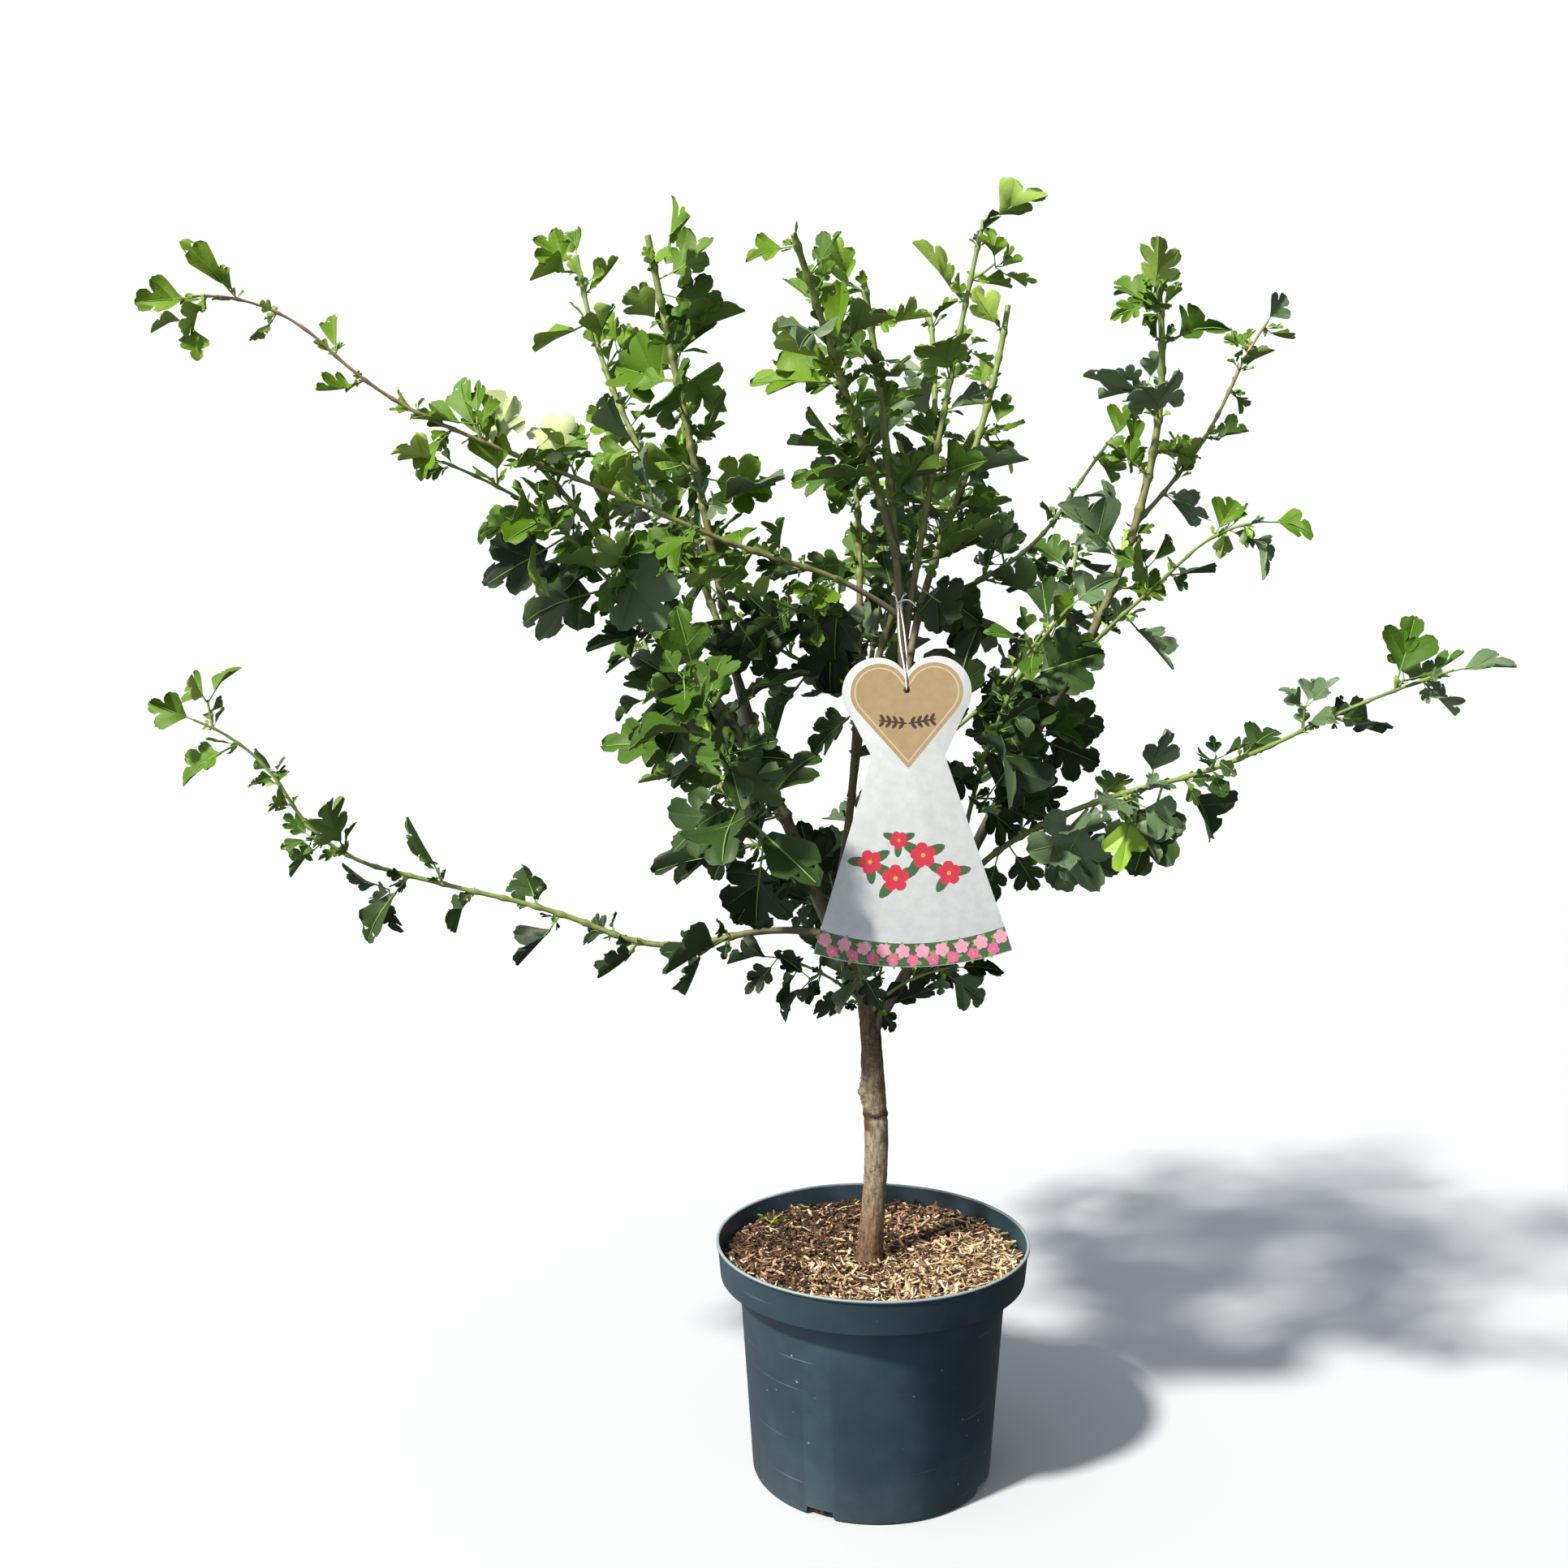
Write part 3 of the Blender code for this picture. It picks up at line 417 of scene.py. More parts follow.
shoots = (
    Shoot("left", "trunk", 1.0, (-163, -156, -148), (60, 69, 55, 53, 45), 490, 150, 14, 3.5, 58, True),
    Shoot("right", "trunk", 0.87, (-2, 15), (59, 64, 60, 77, 101), 630, 355, 11, 5, 54, True),
    Shoot("centre", "left", 0.05, (4, -123, -188), (65, 80, 84, 83, 80), 530, 350, 9.5, 5, 54, True),
    Shoot("centre_left", "left", 0.135, (46, 89, 143), (71, 84, 72, 73), 510, 265, 7.5, 4, 52, True),
    Shoot("upright_left", "left", 0.267, (140, 171, 185), (55, 79, 78, 79), 485, 140, 8.5, 5.5, 58, True),
    Shoot("tall_left", "upright_left", 0.16, (110, 160, 127), (52, 62, 60, 72), 465, 110, 7, 4, 54, False),
    Shoot("low_left", "left", 0.117, (180, 199), (12, -16, 24, 14, 17, 63, 22), 535, 70, 6.5, 2, 56, False),
    Shoot("long_left", "centre", 0.533, (-160, -163, -153), (36, 15, 23, 20, 22, 44, -8), 535,
          45, 5, 1.8, 54, False),
    Shoot("front_top", "centre", 0.617, (-128, -119), (66, 58, 57, 54), 245, 30, 6.5, 5, 54, True),
    Shoot("tallest", "centre", 0.483, (28, 36), (80, 79, 77, 75), 325, 55, 6, 3.5, 50, True),
    Shoot("centre_right", "centre", 0.417, (75, 47, 64), (65, 58, 63, 70), 345, 105, 7, 5, 52, True),
    Shoot("back_top", "centre_left", 0.30, (69, 67, 103), (49, 51, 60, 61), 430, 80, 6.5, 5, 54, True),
    Shoot("right_side", "right", 0.517, (-41, -24), (47, 39, 43, 5), 180, 25, 4, 1.8, 52, False),
    Shoot("inner_right", "centre_right", 0.233, (24, 43), (14, 28, 50, 43), 230, 22, 4.5, 2.5, 54, False),
    Shoot("low_right", "right", 0.15, (-29, -33), (62, 31, 16, 29, 20), 440, 75, 6, 2, 56, False),
    Shoot("front_right", "right", 0.217, (-79, -45), (66, 61, 55, 41), 255, 65, 4.5, 2.5, 58, False),
    Shoot("short_left", "centre_left", 0.483, (-109, -134), (-15, 6, 21), 120, 18, 3, 1.8, 50, False),
    Shoot("short_right", "centre", 0.33, (-20, -8), (25, 45, 60), 150, 35, 4, 2, 60, False),
    Shoot("inner_left", "centre_left", 0.38, (190, 205), (10, 30, 50), 130, 25, 4, 2, 60, False),
    Shoot("front_left", "left", 0.19, (-122, -112), (25, 50, 62), 250, 55, 5, 2.5, 64, False),
    Shoot("back", "centre_left", 0.20, (85, 80), (30, 45, 62), 400, 80, 6, 3.5, 56, True),
    Shoot("back_left", "left", 0.22, (130, 120), (20, 35, 55), 380, 85, 6, 3, 58, True),
    Shoot("back_right", "right", 0.27, (62, 75), (25, 42, 58), 370, 75, 5.5, 3, 58, True),
    Shoot("back_low", "left", 0.085, (97, 80), (8, 5, 28), 330, 65, 5.5, 2.2, 58, False),
    Shoot("skirt_front", "trunk", 0.95, (-105, -90), (55, 25), 80, 0, 3.2, 1.8, 56, False),
    Shoot("skirt_right", "trunk", 0.93, (-55, -25), (50, 15), 95, 0, 3.2, 1.8, 56, False),
    Shoot("skirt_back", "trunk", 0.93, (70, 90), (50, 10), 95, 0, 3.2, 1.8, 56, False),
    Shoot("skirt_left", "trunk", 0.95, (-150, -165), (50, 15), 90, 0, 3.2, 1.8, 56, False),
)
sideShoots = (  # these stay in the mass of the shoot that carries them
    Shoot("left_lower", "left", 0.717, (-155, -140), (24, 50, 26, 18), 185, 0, 4, 2, 52, False),
    Shoot("right_outer", "right", 0.70, (36, 42), (38, 44, 59, 43), 220, 0, 4, 2, 46, False),
)
pinkTips = ("long_left", "right_outer")

trunkSizes = {
    "foot": (-3, -16, 174.8), "turns": (49, 61, 153, 149), "rises": (81, 86, 84), "length": 208,
    "diameters": (20.5, 19, 18.6, 18.2, 18.2, 18.8, 17.2, 16.6, 16, 15.8, 16.4), "sides": 96, "step": 0.8,
    "footFlare": 1.6, "flareReach": 6, "flareWaves": 0.5,
    "knobAt": 0.65, "knobHalf": 15, "knobHeading": 185, "knobSpread": 46, "knobHeight": 3.4,
    "knobRough": (3.2, 3.2), "knobFine": (1.3, 0.5),        # bumps: how wide and how high
    "ringAt": 0.56, "ringHalf": 1.8, "ringHeight": 0.7, "notchDrop": 4, "notchHalf": 1.6, "notchDepth": 0.5,
    "bulgeAt": 0.765, "bulgeHalf": 6, "bulgeSpread": 50, "bulgeHeight": 0.9,
    "grain": (1.1, 0.28), "grainStretch": 0.28, "lumps": (9, 0.5),
    "cracks": (3.5, 0.8), "crackStretch": 1.6, "crackFrom": 0.35,
}
trunkPath = growPath(Vector(trunkSizes["foot"]) * mm, trunkSizes["turns"], trunkSizes["rises"],
                     trunkSizes["length"] * mm)

limbSizes = {
    "boughSides": 16, "boughStep": 2.2, "stemSides": 10, "stemStep": 2.6, "sunk": 1.5, "slim": 0.88,
    "collar": 0.45, "collarReach": 9, "nodeSwell": 0.45, "nodeReach": 2.8, "oldDiameter": 9,
    "youngDiameter": 3.2, "youngTip": 0.35, "pinkFrom": 0.85, "pinkFade": 0.75, "grain": (1.2, 0.08),
    "grainStretch": 0.2, "lumps": (7, 0.16), "twigSides": 5, "twigStep": 6, "twigAge": 0.1,
}


def hump(value, middle, half):
    return math.exp(-((value - middle) / half) ** 2)


def bumps(place, width, height, stretch=1):        # smooth noise with bumps this many mm wide and high
    return noise.noise(Vector((place.x, place.y, place.z * stretch)) / (width * mm)) * height


def trunkRelief(share, turn, place):
    size = trunkSizes
    heading = (math.degrees(turn) - size["knobHeading"] + 180) % 360 - 180
    along = share * size["length"]
    knobAt, ringAt, bulgeAt = (size[name] * size["length"] for name in ("knobAt", "ringAt", "bulgeAt"))
    knob = hump(along, knobAt, size["knobHalf"]) * hump(heading, 0, size["knobSpread"])
    rough = bumps(place, *size["knobRough"]) + bumps(place, *size["knobFine"])
    ring = hump(along, ringAt, size["ringHalf"]) * size["ringHeight"]
    notch = hump(along, ringAt - size["notchDrop"], size["notchHalf"]) * size["notchDepth"]
    bulge = hump(along, bulgeAt, size["bulgeHalf"]) * hump(heading, 0, size["bulgeSpread"])
    grain = bumps(place, *size["grain"], size["grainStretch"]) + bumps(place, *size["lumps"])
    width, depth = size["cracks"]
    cracks = max(0, bumps(place, width, 1, size["crackStretch"]) - size["crackFrom"]) * depth
    flare = size["footFlare"] * math.exp(-along / size["flareReach"])
    flare *= 1 + size["flareWaves"] * math.sin(3 * turn + 1)
    return (knob * (size["knobHeight"] + rough) + ring - notch + bulge * size["bulgeHeight"] + grain
            - cracks + flare) * mm


def hawthornBark():
    # Smooth young bark: olive-brown over the graft, grey-tan with thin cracks and ochre patches under it
    finish, tree, wrap = newMaterial("hawthorn_bark", "#7d6a52", 0.8, 0.3, wrapped=True)
    place = addNode(tree, "SeparateXYZ", wrap)
    wander = addNode(tree, "TexNoise", Vector=wrap, Scale=90, Detail=3)
    shifted = addNode(tree, "Math", wander, 0.016, place.outputs["Z"], operation="MULTIPLY_ADD")
    zone = addNode(tree, "MapRange", shifted, 0.008, 0.224)    # 0 at the mulch, 1 at the fork
    ground = addNode(tree, "ValToRGB", zone, stops=(
        (0.0, "#5e4637"), (0.14, "#7a6350"), (0.3, "#867a69"), (0.524, "#8c8373"), (0.531, "#33271d"),
        (0.549, "#46362a"), (0.557, "#776e5b"), (0.68, "#6d6450"), (0.75, "#5f5540"), (1.0, "#5a5039")))
    patches = addNode(tree, "TexNoise", Vector=wrap, Scale=75, Detail=4)    # ochre patches, 13 mm across
    ochre = addNode(tree, "ValToRGB", patches, stops=((0.52, 0), (0.66, 1)))
    ochreShare = addNode(tree, "Math", ochre, 0.22, operation="MULTIPLY")
    patched = addNode(tree, "MixRGB", ochreShare, ground, "#9a8a55")
    spread = addNode(tree, "Mapping", wrap, Scale=(1, 1, 0.3))
    mottle = addNode(tree, "TexNoise", Vector=spread, Scale=330, Detail=6, Roughness=0.62)    # 3 mm wide
    value = addNode(tree, "MapRange", mottle, 0.32, 0.68, 0.24, 0.98)
    shaded = addNode(tree, "HueSaturation", Color=patched, Value=value)
    leftSide = addNode(tree, "MapRange", place.outputs["X"], -0.001, -0.006)
    scarZone = addNode(tree, "ValToRGB", zone, stops=((0.47, 0), (0.485, 1), (0.525, 1), (0.533, 0)))
    scarShare = addNode(tree, "Math", scarZone, leftSide, operation="MULTIPLY")
    scarred = addNode(tree, "MixRGB", scarShare, shaded, "#462a1b")    # a rusty wedge under the graft
    squeezed = addNode(tree, "Mapping", wrap, Scale=(1, 1, 2.2))
    cells = addNode(tree, "TexVoronoi", feature="DISTANCE_TO_EDGE", Vector=squeezed, Scale=95)
    crack = addNode(tree, "ValToRGB", cells, stops=((0.0, 1), (0.035, 0)))    # cracks about 10 mm apart
    broken = addNode(tree, "ValToRGB", wander, stops=((0.48, 0), (0.58, 1)))
    crackShare = addNode(tree, "Math", crack, broken, operation="MULTIPLY")
    cracked = addNode(tree, "MixRGB", crackShare, scarred, "#2f2419")
    relief = addNode(tree, "Math", mottle, crackShare, operation="SUBTRACT")
    bump = addNode(tree, "Bump", Height=relief, Strength=0.7, Distance=0.5 * mm)
    return feed(finish, cracked, bump)


def shootBark(name, young, middle, old):
    # Bark that changes along the shoot: grey-brown old wood, olive, then green or pink young wood
    finish, tree, wrap = newMaterial(name, middle, 0.62, 0.35, wrapped=True)
    age = addNode(tree, "Attribute", attribute_name="age").outputs["Fac"]
    spread = addNode(tree, "Mapping", wrap, Scale=(1, 1, 0.2))
    streaks = addNode(tree, "TexNoise", Vector=spread, Scale=420, Detail=4)    # streaks 2 mm wide
    blotch = addNode(tree, "TexNoise", Vector=wrap, Scale=60, Detail=2)    # 17 mm blotches
    mixed = addNode(tree, "Math", blotch, 0.5, age, operation="MULTIPLY_ADD")
    tone = addNode(tree, "ValToRGB", mixed, stops=((0.22, young), (0.55, middle), (1.0, old)))
    value = addNode(tree, "MapRange", streaks, 0.3, 0.7, 0.72, 1.25)
    shaded = addNode(tree, "HueSaturation", Color=tone, Value=value)
    dots = addNode(tree, "TexVoronoi", Vector=wrap, Scale=230)    # pale breathing pores, 4 mm apart
    pore = addNode(tree, "ValToRGB", dots, stops=((0.09, 0.7), (0.15, 0)))
    poreShare = addNode(tree, "Math", pore, age, operation="MULTIPLY")
    dotted = addNode(tree, "MixRGB", poreShare, shaded, "#b3a98c")
    bump = addNode(tree, "Bump", Height=streaks, Strength=0.45, Distance=0.3 * mm)
    return feed(finish, dotted, bump)


def cutWood():
    # The cut end of a pruned shoot: pale sapwood that has dried brown
    finish, tree, place = newMaterial("dried_cut_wood", "#75573a", 0.85, 0.2)
    rings = addNode(tree, "TexNoise", Vector=place, Scale=700, Detail=2)    # 1.4 mm flecks
    tone = addNode(tree, "ValToRGB", rings, stops=((0.35, "#503823"), (0.65, "#876b48")))
    return feed(finish, tone)


def makeTrunk():
    size = trunkSizes
    bm = bmesh.new()
    wrapLimb(bm, trunkPath, 0, 1, lambda share: between(size["diameters"], share) * mm / 2,
             lambda share: 1.0, size["sides"], size["step"] * mm, trunkRelief)
    for vert in bm.verts:
        vert.co.z = max(vert.co.z, size["foot"][2] * mm)
    return dress("trunk_bark", outward(bm), [hawthornBark()], ["trunk"], 60)


def shootPaths():
    paths = {"trunk": trunkPath}
    for shoot in shoots + sideShoots:
        foot = pointOn(paths[shoot.carrier], shoot.at)
        paths[shoot.name] = growPath(foot, shoot.turns, shoot.rises, shoot.length * mm)
    return paths


def limbShape(shoot, nodes):
    size = limbSizes

    def radiusAt(share):
        along = share * shoot.length
        radius = between((shoot.foot, shoot.tip), share) / 2 * size["slim"]
        swell = sum(hump(along, node * shoot.length, size["nodeReach"]) for node in nodes)
        collar = size["collar"] * math.exp(-along / size["collarReach"])
        return radius * (1 + collar + size["nodeSwell"] * min(swell, 1)) * mm

    def ageAt(share):
        diameter = between((shoot.foot, shoot.tip), share)
        old = (diameter - size["youngDiameter"]) / (size["oldDiameter"] - size["youngDiameter"])
        if shoot.name in pinkTips:
            return min(max((size["pinkFrom"] - share) * size["pinkFade"], 0), 1)
        return min(max(old - size["youngTip"] * share, 0), 1)

    return radiusAt, ageAt


def limbRelief(share, turn, place):
    size = limbSizes
    return (bumps(place, *size["grain"], size["grainStretch"]) + bumps(place, *size["lumps"])) * mm


def makeBoughs(paths):
    size = limbSizes
    bm = bmesh.new()
    bare = [shoot for shoot in shoots if shoot.bare]
    for shoot in bare:
        wrapLimb(bm, paths[shoot.name], 0, (shoot.bare + size["sunk"]) / shoot.length, *limbShape(shoot, []),
                 size["boughSides"], size["boughStep"] * mm, limbRelief)
    finish = shootBark("bough_bark", "#5d6b38", "#5c5a3c", "#554f40")
    return dress("bough_bark", outward(bm), [finish], ["bough_" + shoot.name for shoot in bare], 60)


# Leaves: lobed blades on stalks, placed at nodes along the shoots

leafKinds = {
    # Lobes: root on the midrib, lean, length and half width, as shares of the leaf's length.
    # Bay: how far out the bays between the lobes lie, as a share of the lobes.
    "five": {"lobes": ((0.36, 66, 0.31, 0.085), (0.46, 41, 0.42, 0.105), (0.58, 0, 0.42, 0.125)),
             "bay": 0.57, "wedge": 0.08, "ribs": True},
    "three": {"lobes": ((0.42, 50, 0.44, 0.14), (0.56, 0, 0.44, 0.165)),
              "bay": 0.6, "wedge": 0.09, "ribs": True},
    "broad": {"lobes": ((0.34, 84, 0.36, 0.13), (0.43, 50, 0.50, 0.155), (0.55, 0, 0.45, 0.18)),
              "bay": 0.72, "wedge": 0.14, "ribs": True},
    "spoon": {"lobes": ((0.56, 30, 0.33, 0.12), (0.64, 0, 0.36, 0.13)),
              "bay": 0.86, "wedge": 0.06, "ribs": False},
    "small": {"lobes": ((0.46, 46, 0.38, 0.12), (0.58, 0, 0.42, 0.14)),
              "bay": 0.62, "wedge": 0.07, "ribs": False},
}
leafSizes = {  # shares of the leaf's length
    "stalk": 0.25, "stalkWidth": 0.016, "stalkSag": 0.05, "ribWidth": 0.006, "thick": 0.006, "pleat": 0.03,
    "fold": (8, 48), "curl": (-0.4, 1.1), "wave": (0.02, 0.065), "twist": (-0.8, 0.8),
    # Points round a lobe: how far along it, and how far to the side nearer the leaf's foot
    "lobeEdge": ((0.52, 1.0), (0.77, 1.0), (0.90, 0.75), (0.915, 0.42), (1.0, 0.14), (0.96, -0.40),
                 (0.81, -0.86), (0.58, -1.0)),
    "plainEdge": ((0.55, 1.0), (0.86, 0.86), (1.0, 0.3), (0.98, -0.3), (0.78, -0.9)),
}
massSizes = {
    "nodeStep": 22, "stepScatter": (0.8, 1.2), "divergence": 137.5, "turnScatter": 20,
    "leafShare": 1.14, "leafScatter": (0.66, 1.2), "leafGrowth": (1.3, 0.95), "leafLeans": (42, 72),
    "kinds": ("five", "three", "broad", "spoon"), "lowKinds": (6, 3, 2, 1), "highKinds": (2, 5, 2, 3),
    "kindsChange": 0.45, "tries": 4, "retryTurn": 67, "hang": 0.4, "hangDark": 1.6, "hangLit": 0.7,
    "skirtTop": 398, "skirtHang": -0.3, "faceLight": (-0.3, -0.52, 0.8), "faceOut": 0.3, "faceScatter": 0.6,
    "tipLeaf": 0.75, "topLeaf": 54, "topRise": 36, "chosenFold": (4, 22),
    "tuftLeaves": (2, 3), "tuftSizes": (0.22, 0.52), "tuftLeans": (30, 65), "tuftFold": (4, 30),
    "tuftKinds": ("small", "spoon", "three", "five"), "tuftYoung": 0.1,
    "budSizes": (7, 13), "budFold": (20, 50), "budTurn": 50, "budLean": 60,
    "spurEvery": 3, "spurLengths": (9, 20), "spurLean": 53, "spurLeaves": (3, 4), "spurSizes": (0.5, 0.95),
    "spurDiameters": (2.2, 1.5), "twigEvery": 2, "twigUntil": 0.6, "twigKept": 0.95, "twigLengths": (28, 60),
    "twigLean": 50, "twigStep": 15, "twigSizes": (0.6, 0.95), "twigDiameters": (2.0, 1.2),
    "twigKinds": ("five", "three", "broad"), "twigRise": 0.12, "twigSag": 0.05,
}
shootLooks = {  # size of the leaves, and the share of the nodes that carry any, where it isn't the usual
    "low_left": (0.74, 0.68), "long_left": (0.72, 0.72), "low_right": (0.76, 0.7),
    "left_lower": (0.76, 0.8), "skirt_front": (0.66, 0.8), "skirt_left": (0.66, 0.8),
    "skirt_right": (0.66, 0.8), "skirt_back": (0.7, 0.8), "short_right": (0.9, 1.0),
    "inner_left": (0.85, 0.9), "front_left": (0.88, 1.0), "left": (0.88, 0.94), "centre": (0.86, 0.96),
    "front_top": (0.84, 0.9), "tallest": (0.84, 0.92), "back_top": (0.84, 0.9), "right_outer": (0.7, 0.8),
    "right_side": (0.7, 0.8), "right": (0.9, 0.8), "inner_right": (0.8, 0.7),
    "centre_right": (0.85, 0.75), "back_right": (0.92, 0.85), "upright_left": (0.92, 0.9),
    "tall_left": (0.92, 0.9), "usual": (0.88, 1.0),
}
chosenLeaves = {  # by shoot: share of it, heading, rise, length, kind and tone; pale ones are turned over
    "upright_left": ((0.93, 0, 32, 54, "broad", "bright"), (0.91, 0, -10, 50, "broad", "green"),
        (0.9, 180, 18, 26, "three", "green"), (0.62, 0, -8, 60, "broad", "sunlit"),
        (0.61, 180, -22, 46, "three", "bright"), (0.48, 180, -52, 54, "spoon", "deep")),
    "tall_left": ((0.98, 180, 30, 44, "broad", "sunlit"), (0.75, 0, 38, 38, "three", "bright"),
        (0.6, 0, -10, 54, "broad", "green"), (0.62, 180, -14, 42, "three", "bright"),
        (0.4, 0, 30, 44, "three", "sunlit")),
    "low_right": ((0.2, 180, -75, 48, "five", "deep"), (0.22, 0, -55, 46, "five", "deep"),
        (0.4, 180, -60, 78, "broad", "glaucous"), (0.52, 170, -74, 70, "broad", "deep")),
    "back_right": ((0.38, 0, -20, 60, "broad", "shade"), (0.36, 180, -35, 54, "five", "shade"),
        (0.28, 0, -50, 58, "five", "shade"), (0.46, 0, -15, 54, "broad", "deep")),
    "front_right": ((0.3, 0, -35, 52, "five", "deep"), (0.45, 180, -40, 48, "five", "shade")),
    "front_left": ((0.28, 180, -60, 58, "five", "shade"), (0.58, 180, -40, 66, "broad", "deep"),
        (0.35, 190, -80, 68, "broad", "shade")),
    "back_left": ((0.25, 180, -60, 60, "five", "shade"),),
    "skirt_left": ((1, 180, -50, 38, "five", "shade"),),
    "skirt_front": ((0.8, 0, -60, 36, "five", "shade"),),
    "left_lower": ((0.15, 180, -10, 86, "broad", "deep"), (0.43, 190, -27, 70, "broad", "shade")),
    "left": ((0.82, 0, -55, 70, "broad", "glaucous"), (0.7, 0, -25, 48, "spoon", "glaucous")),
    "inner_left": ((0.93, 0, -56, 62, "broad", "shade"),),
    "long_left": ((0.57, 180, 68, 46, "broad", "pale"), (0.55, 0, 41, 44, "broad", "pale"),
        (0.1, 180, -81, 64, "broad", "shade")),
    "short_left": ((0.37, 180, -80, 62, "broad", "shade"), (0.12, 200, -20, 50, "five", "deep")),
    "right": ((0.45, 0, 64, 56, "five", "deep"),),
    "centre_left": ((0.5, 180, -51, 60, "broad", "deep"), (0.46, 200, -40, 54, "five", "shade"),
        (0.56, 190, -5, 50, "five", "green")),
    "tallest": ((0.16, 320, -28, 54, "broad", "shade"), (0.24, 350, 6, 46, "five", "green")),
    "inner_right": ((0.12, 0, -72, 54, "five", "shade"),),
    "centre_right": ((0.28, 340, -32, 52, "broad", "deep"), (0.45, 0, 18, 50, "five", "bright")),
}
# The tones sunlit, bright, green, deep and shade are one leaf painted lighter where the sun falls and darker
# in the crown's shade: painted light and shade. The paler undersides are partly their own colour and partly
# painted light shining through the leaf.
leafTones = {  # upper side, underside, roughness
    # The grey-green sheen tone is a painted reflection of the sky on glossy leaves.
    "sunlit": ("#4e6f0c", "#7f9a40", 0.56), "bright": ("#41620c", "#6f8b3c", 0.56),
    "green": ("#33520f", "#5c7537", 0.55), "deep": ("#243a16", "#465a33", 0.52),
    "shade": ("#182811", "#34452a", 0.52), "glaucous": ("#495f42", "#6c7e5c", 0.46),
    "young": ("#6f9130", "#8fa458", 0.5), "pale": ("#587f30", "#98a776", 0.5),
}
lightSizes = {  # how sunny a leaf's place is; places are in metres
    "crownFoot": 0.40, "crownRise": 0.6, "byHeight": 1.1, "byReach": 0.8, "fromLeft": 0.5, "fromFront": 0.4,
    "less": 0.22, "scatter": 0.16, "glaucous": 0.2, "skySheenRightOf": -0.02, "skySheenAbove": 0.75,
    "least": {"sunlit": 0.86, "bright": 0.62, "green": 0.38, "deep": 0.12},
}


def lobeWay(lean, hand=1):
    return Vector((hand * math.sin(math.radians(lean)), math.cos(math.radians(lean)), 0))


def leafOutline(kind):
    size = leafSizes
    shape = leafKinds[kind]
    lobes = shape["lobes"]
    half = [Vector((size["stalkWidth"] / 2, size["stalk"], 0)),
            Vector((shape["wedge"], size["stalk"] + 0.08, 0))]
    for number, (root, lean, length, width) in enumerate(lobes):
        way = lobeWay(lean)
        side = Vector((way.y, -way.x, 0))
        for along, across in size["lobeEdge" if shape["ribs"] else "plainEdge"]:
            if lean or across > 0:
                half.append(Vector((0, root, 0)) + way * length * along + side * width * across)
        if lean:
            nextRoot, nextLean, nextLength, _ = lobes[number + 1]
            reach = shape["bay"] * (length + nextLength) / 2
            half.append(Vector((0, (root + nextRoot) / 2, 0)) + lobeWay((lean + nextLean) / 2) * reach)
    tip = Vector((0, lobes[-1][0] + lobes[-1][2] * 0.985, 0))
    return half + [tip] + [Vector((-point.x, point.y, 0)) for point in reversed(half)]


def leafPattern(kind):
    size = leafSizes
    bm = bmesh.new()
    bm.faces.new([bm.verts.new(point) for point in leafOutline(kind)])
    bmesh.ops.bisect_plane(bm, geom=bm.verts[:] + bm.edges[:] + bm.faces[:], plane_co=(0, 0, 0),
                           plane_no=(1, 0, 0))
    veins = [(Vector((0, 0, 0)), lobeWay(0), 0.95)]
    for root, lean, length, _ in leafKinds[kind]["lobes"]:
        for hand in (1, -1) if lean else ():
            faces = [face for face in bm.faces if face.calc_center_median().x * hand > 0]
            geom = {item for face in faces for item in (face, *face.verts, *face.edges)}
            way = lobeWay(lean, hand)
            veins.append((Vector((0, root, 0)), way, length * 0.88))
            bmesh.ops.bisect_plane(bm, geom=list(geom), plane_co=(0, root, 0), plane_no=way.cross(up))
    for vert in bm.verts:        # pleated between the veins
        onVein = any((vert.co - foot).cross(way).length < 0.001 for foot, way, _ in veins)
        vert.co.z = 0 if onVein or vert.co.y < size["stalk"] + 0.01 else size["pleat"]
    bmesh.ops.triangulate(bm, faces=bm.faces[:])
    outward(bm).normal_update()
    if sum(face.normal.z for face in bm.faces) < 0:
        bmesh.ops.reverse_faces(bm, faces=bm.faces[:])
    bmesh.ops.solidify(bm, geom=bm.faces[:], thickness=size["thick"])
    bm.normal_update()
    blade = set(bm.faces)
    for face in blade:        # 0 above and 1 below, and 2 on the ribs
        face.material_index = 0 if face.normal.z > 0.3 else 1
    for number, (foot, way, length) in enumerate(veins):
        if number == 0 or leafKinds[kind]["ribs"]:
            width = size["ribWidth" if number else "stalkWidth"]
            addRib(bm, foot, way, length, width, 1 if number else 5)
    for face in bm.faces:
        if face not in blade:
            face.material_index = 2
    return meshArrays(bm)


def addRib(bm, foot, way, length, radius, steps):
    turned = up.rotation_difference(way).to_matrix().to_4x4()
    made = bmesh.ops.create_cone(bm, cap_ends=True, segments=3, radius1=radius, radius2=radius * 0.3,
                                 depth=length, matrix=Matrix.Translation(foot + way * length / 2) @ turned)
    side = {edge for vert in made["verts"] for edge in vert.link_edges
            if abs((edge.verts[0].co - edge.verts[1].co).dot(way)) > length / 2}
    if steps > 1:
        bmesh.ops.subdivide_edges(bm, edges=list(side), cuts=steps - 1)


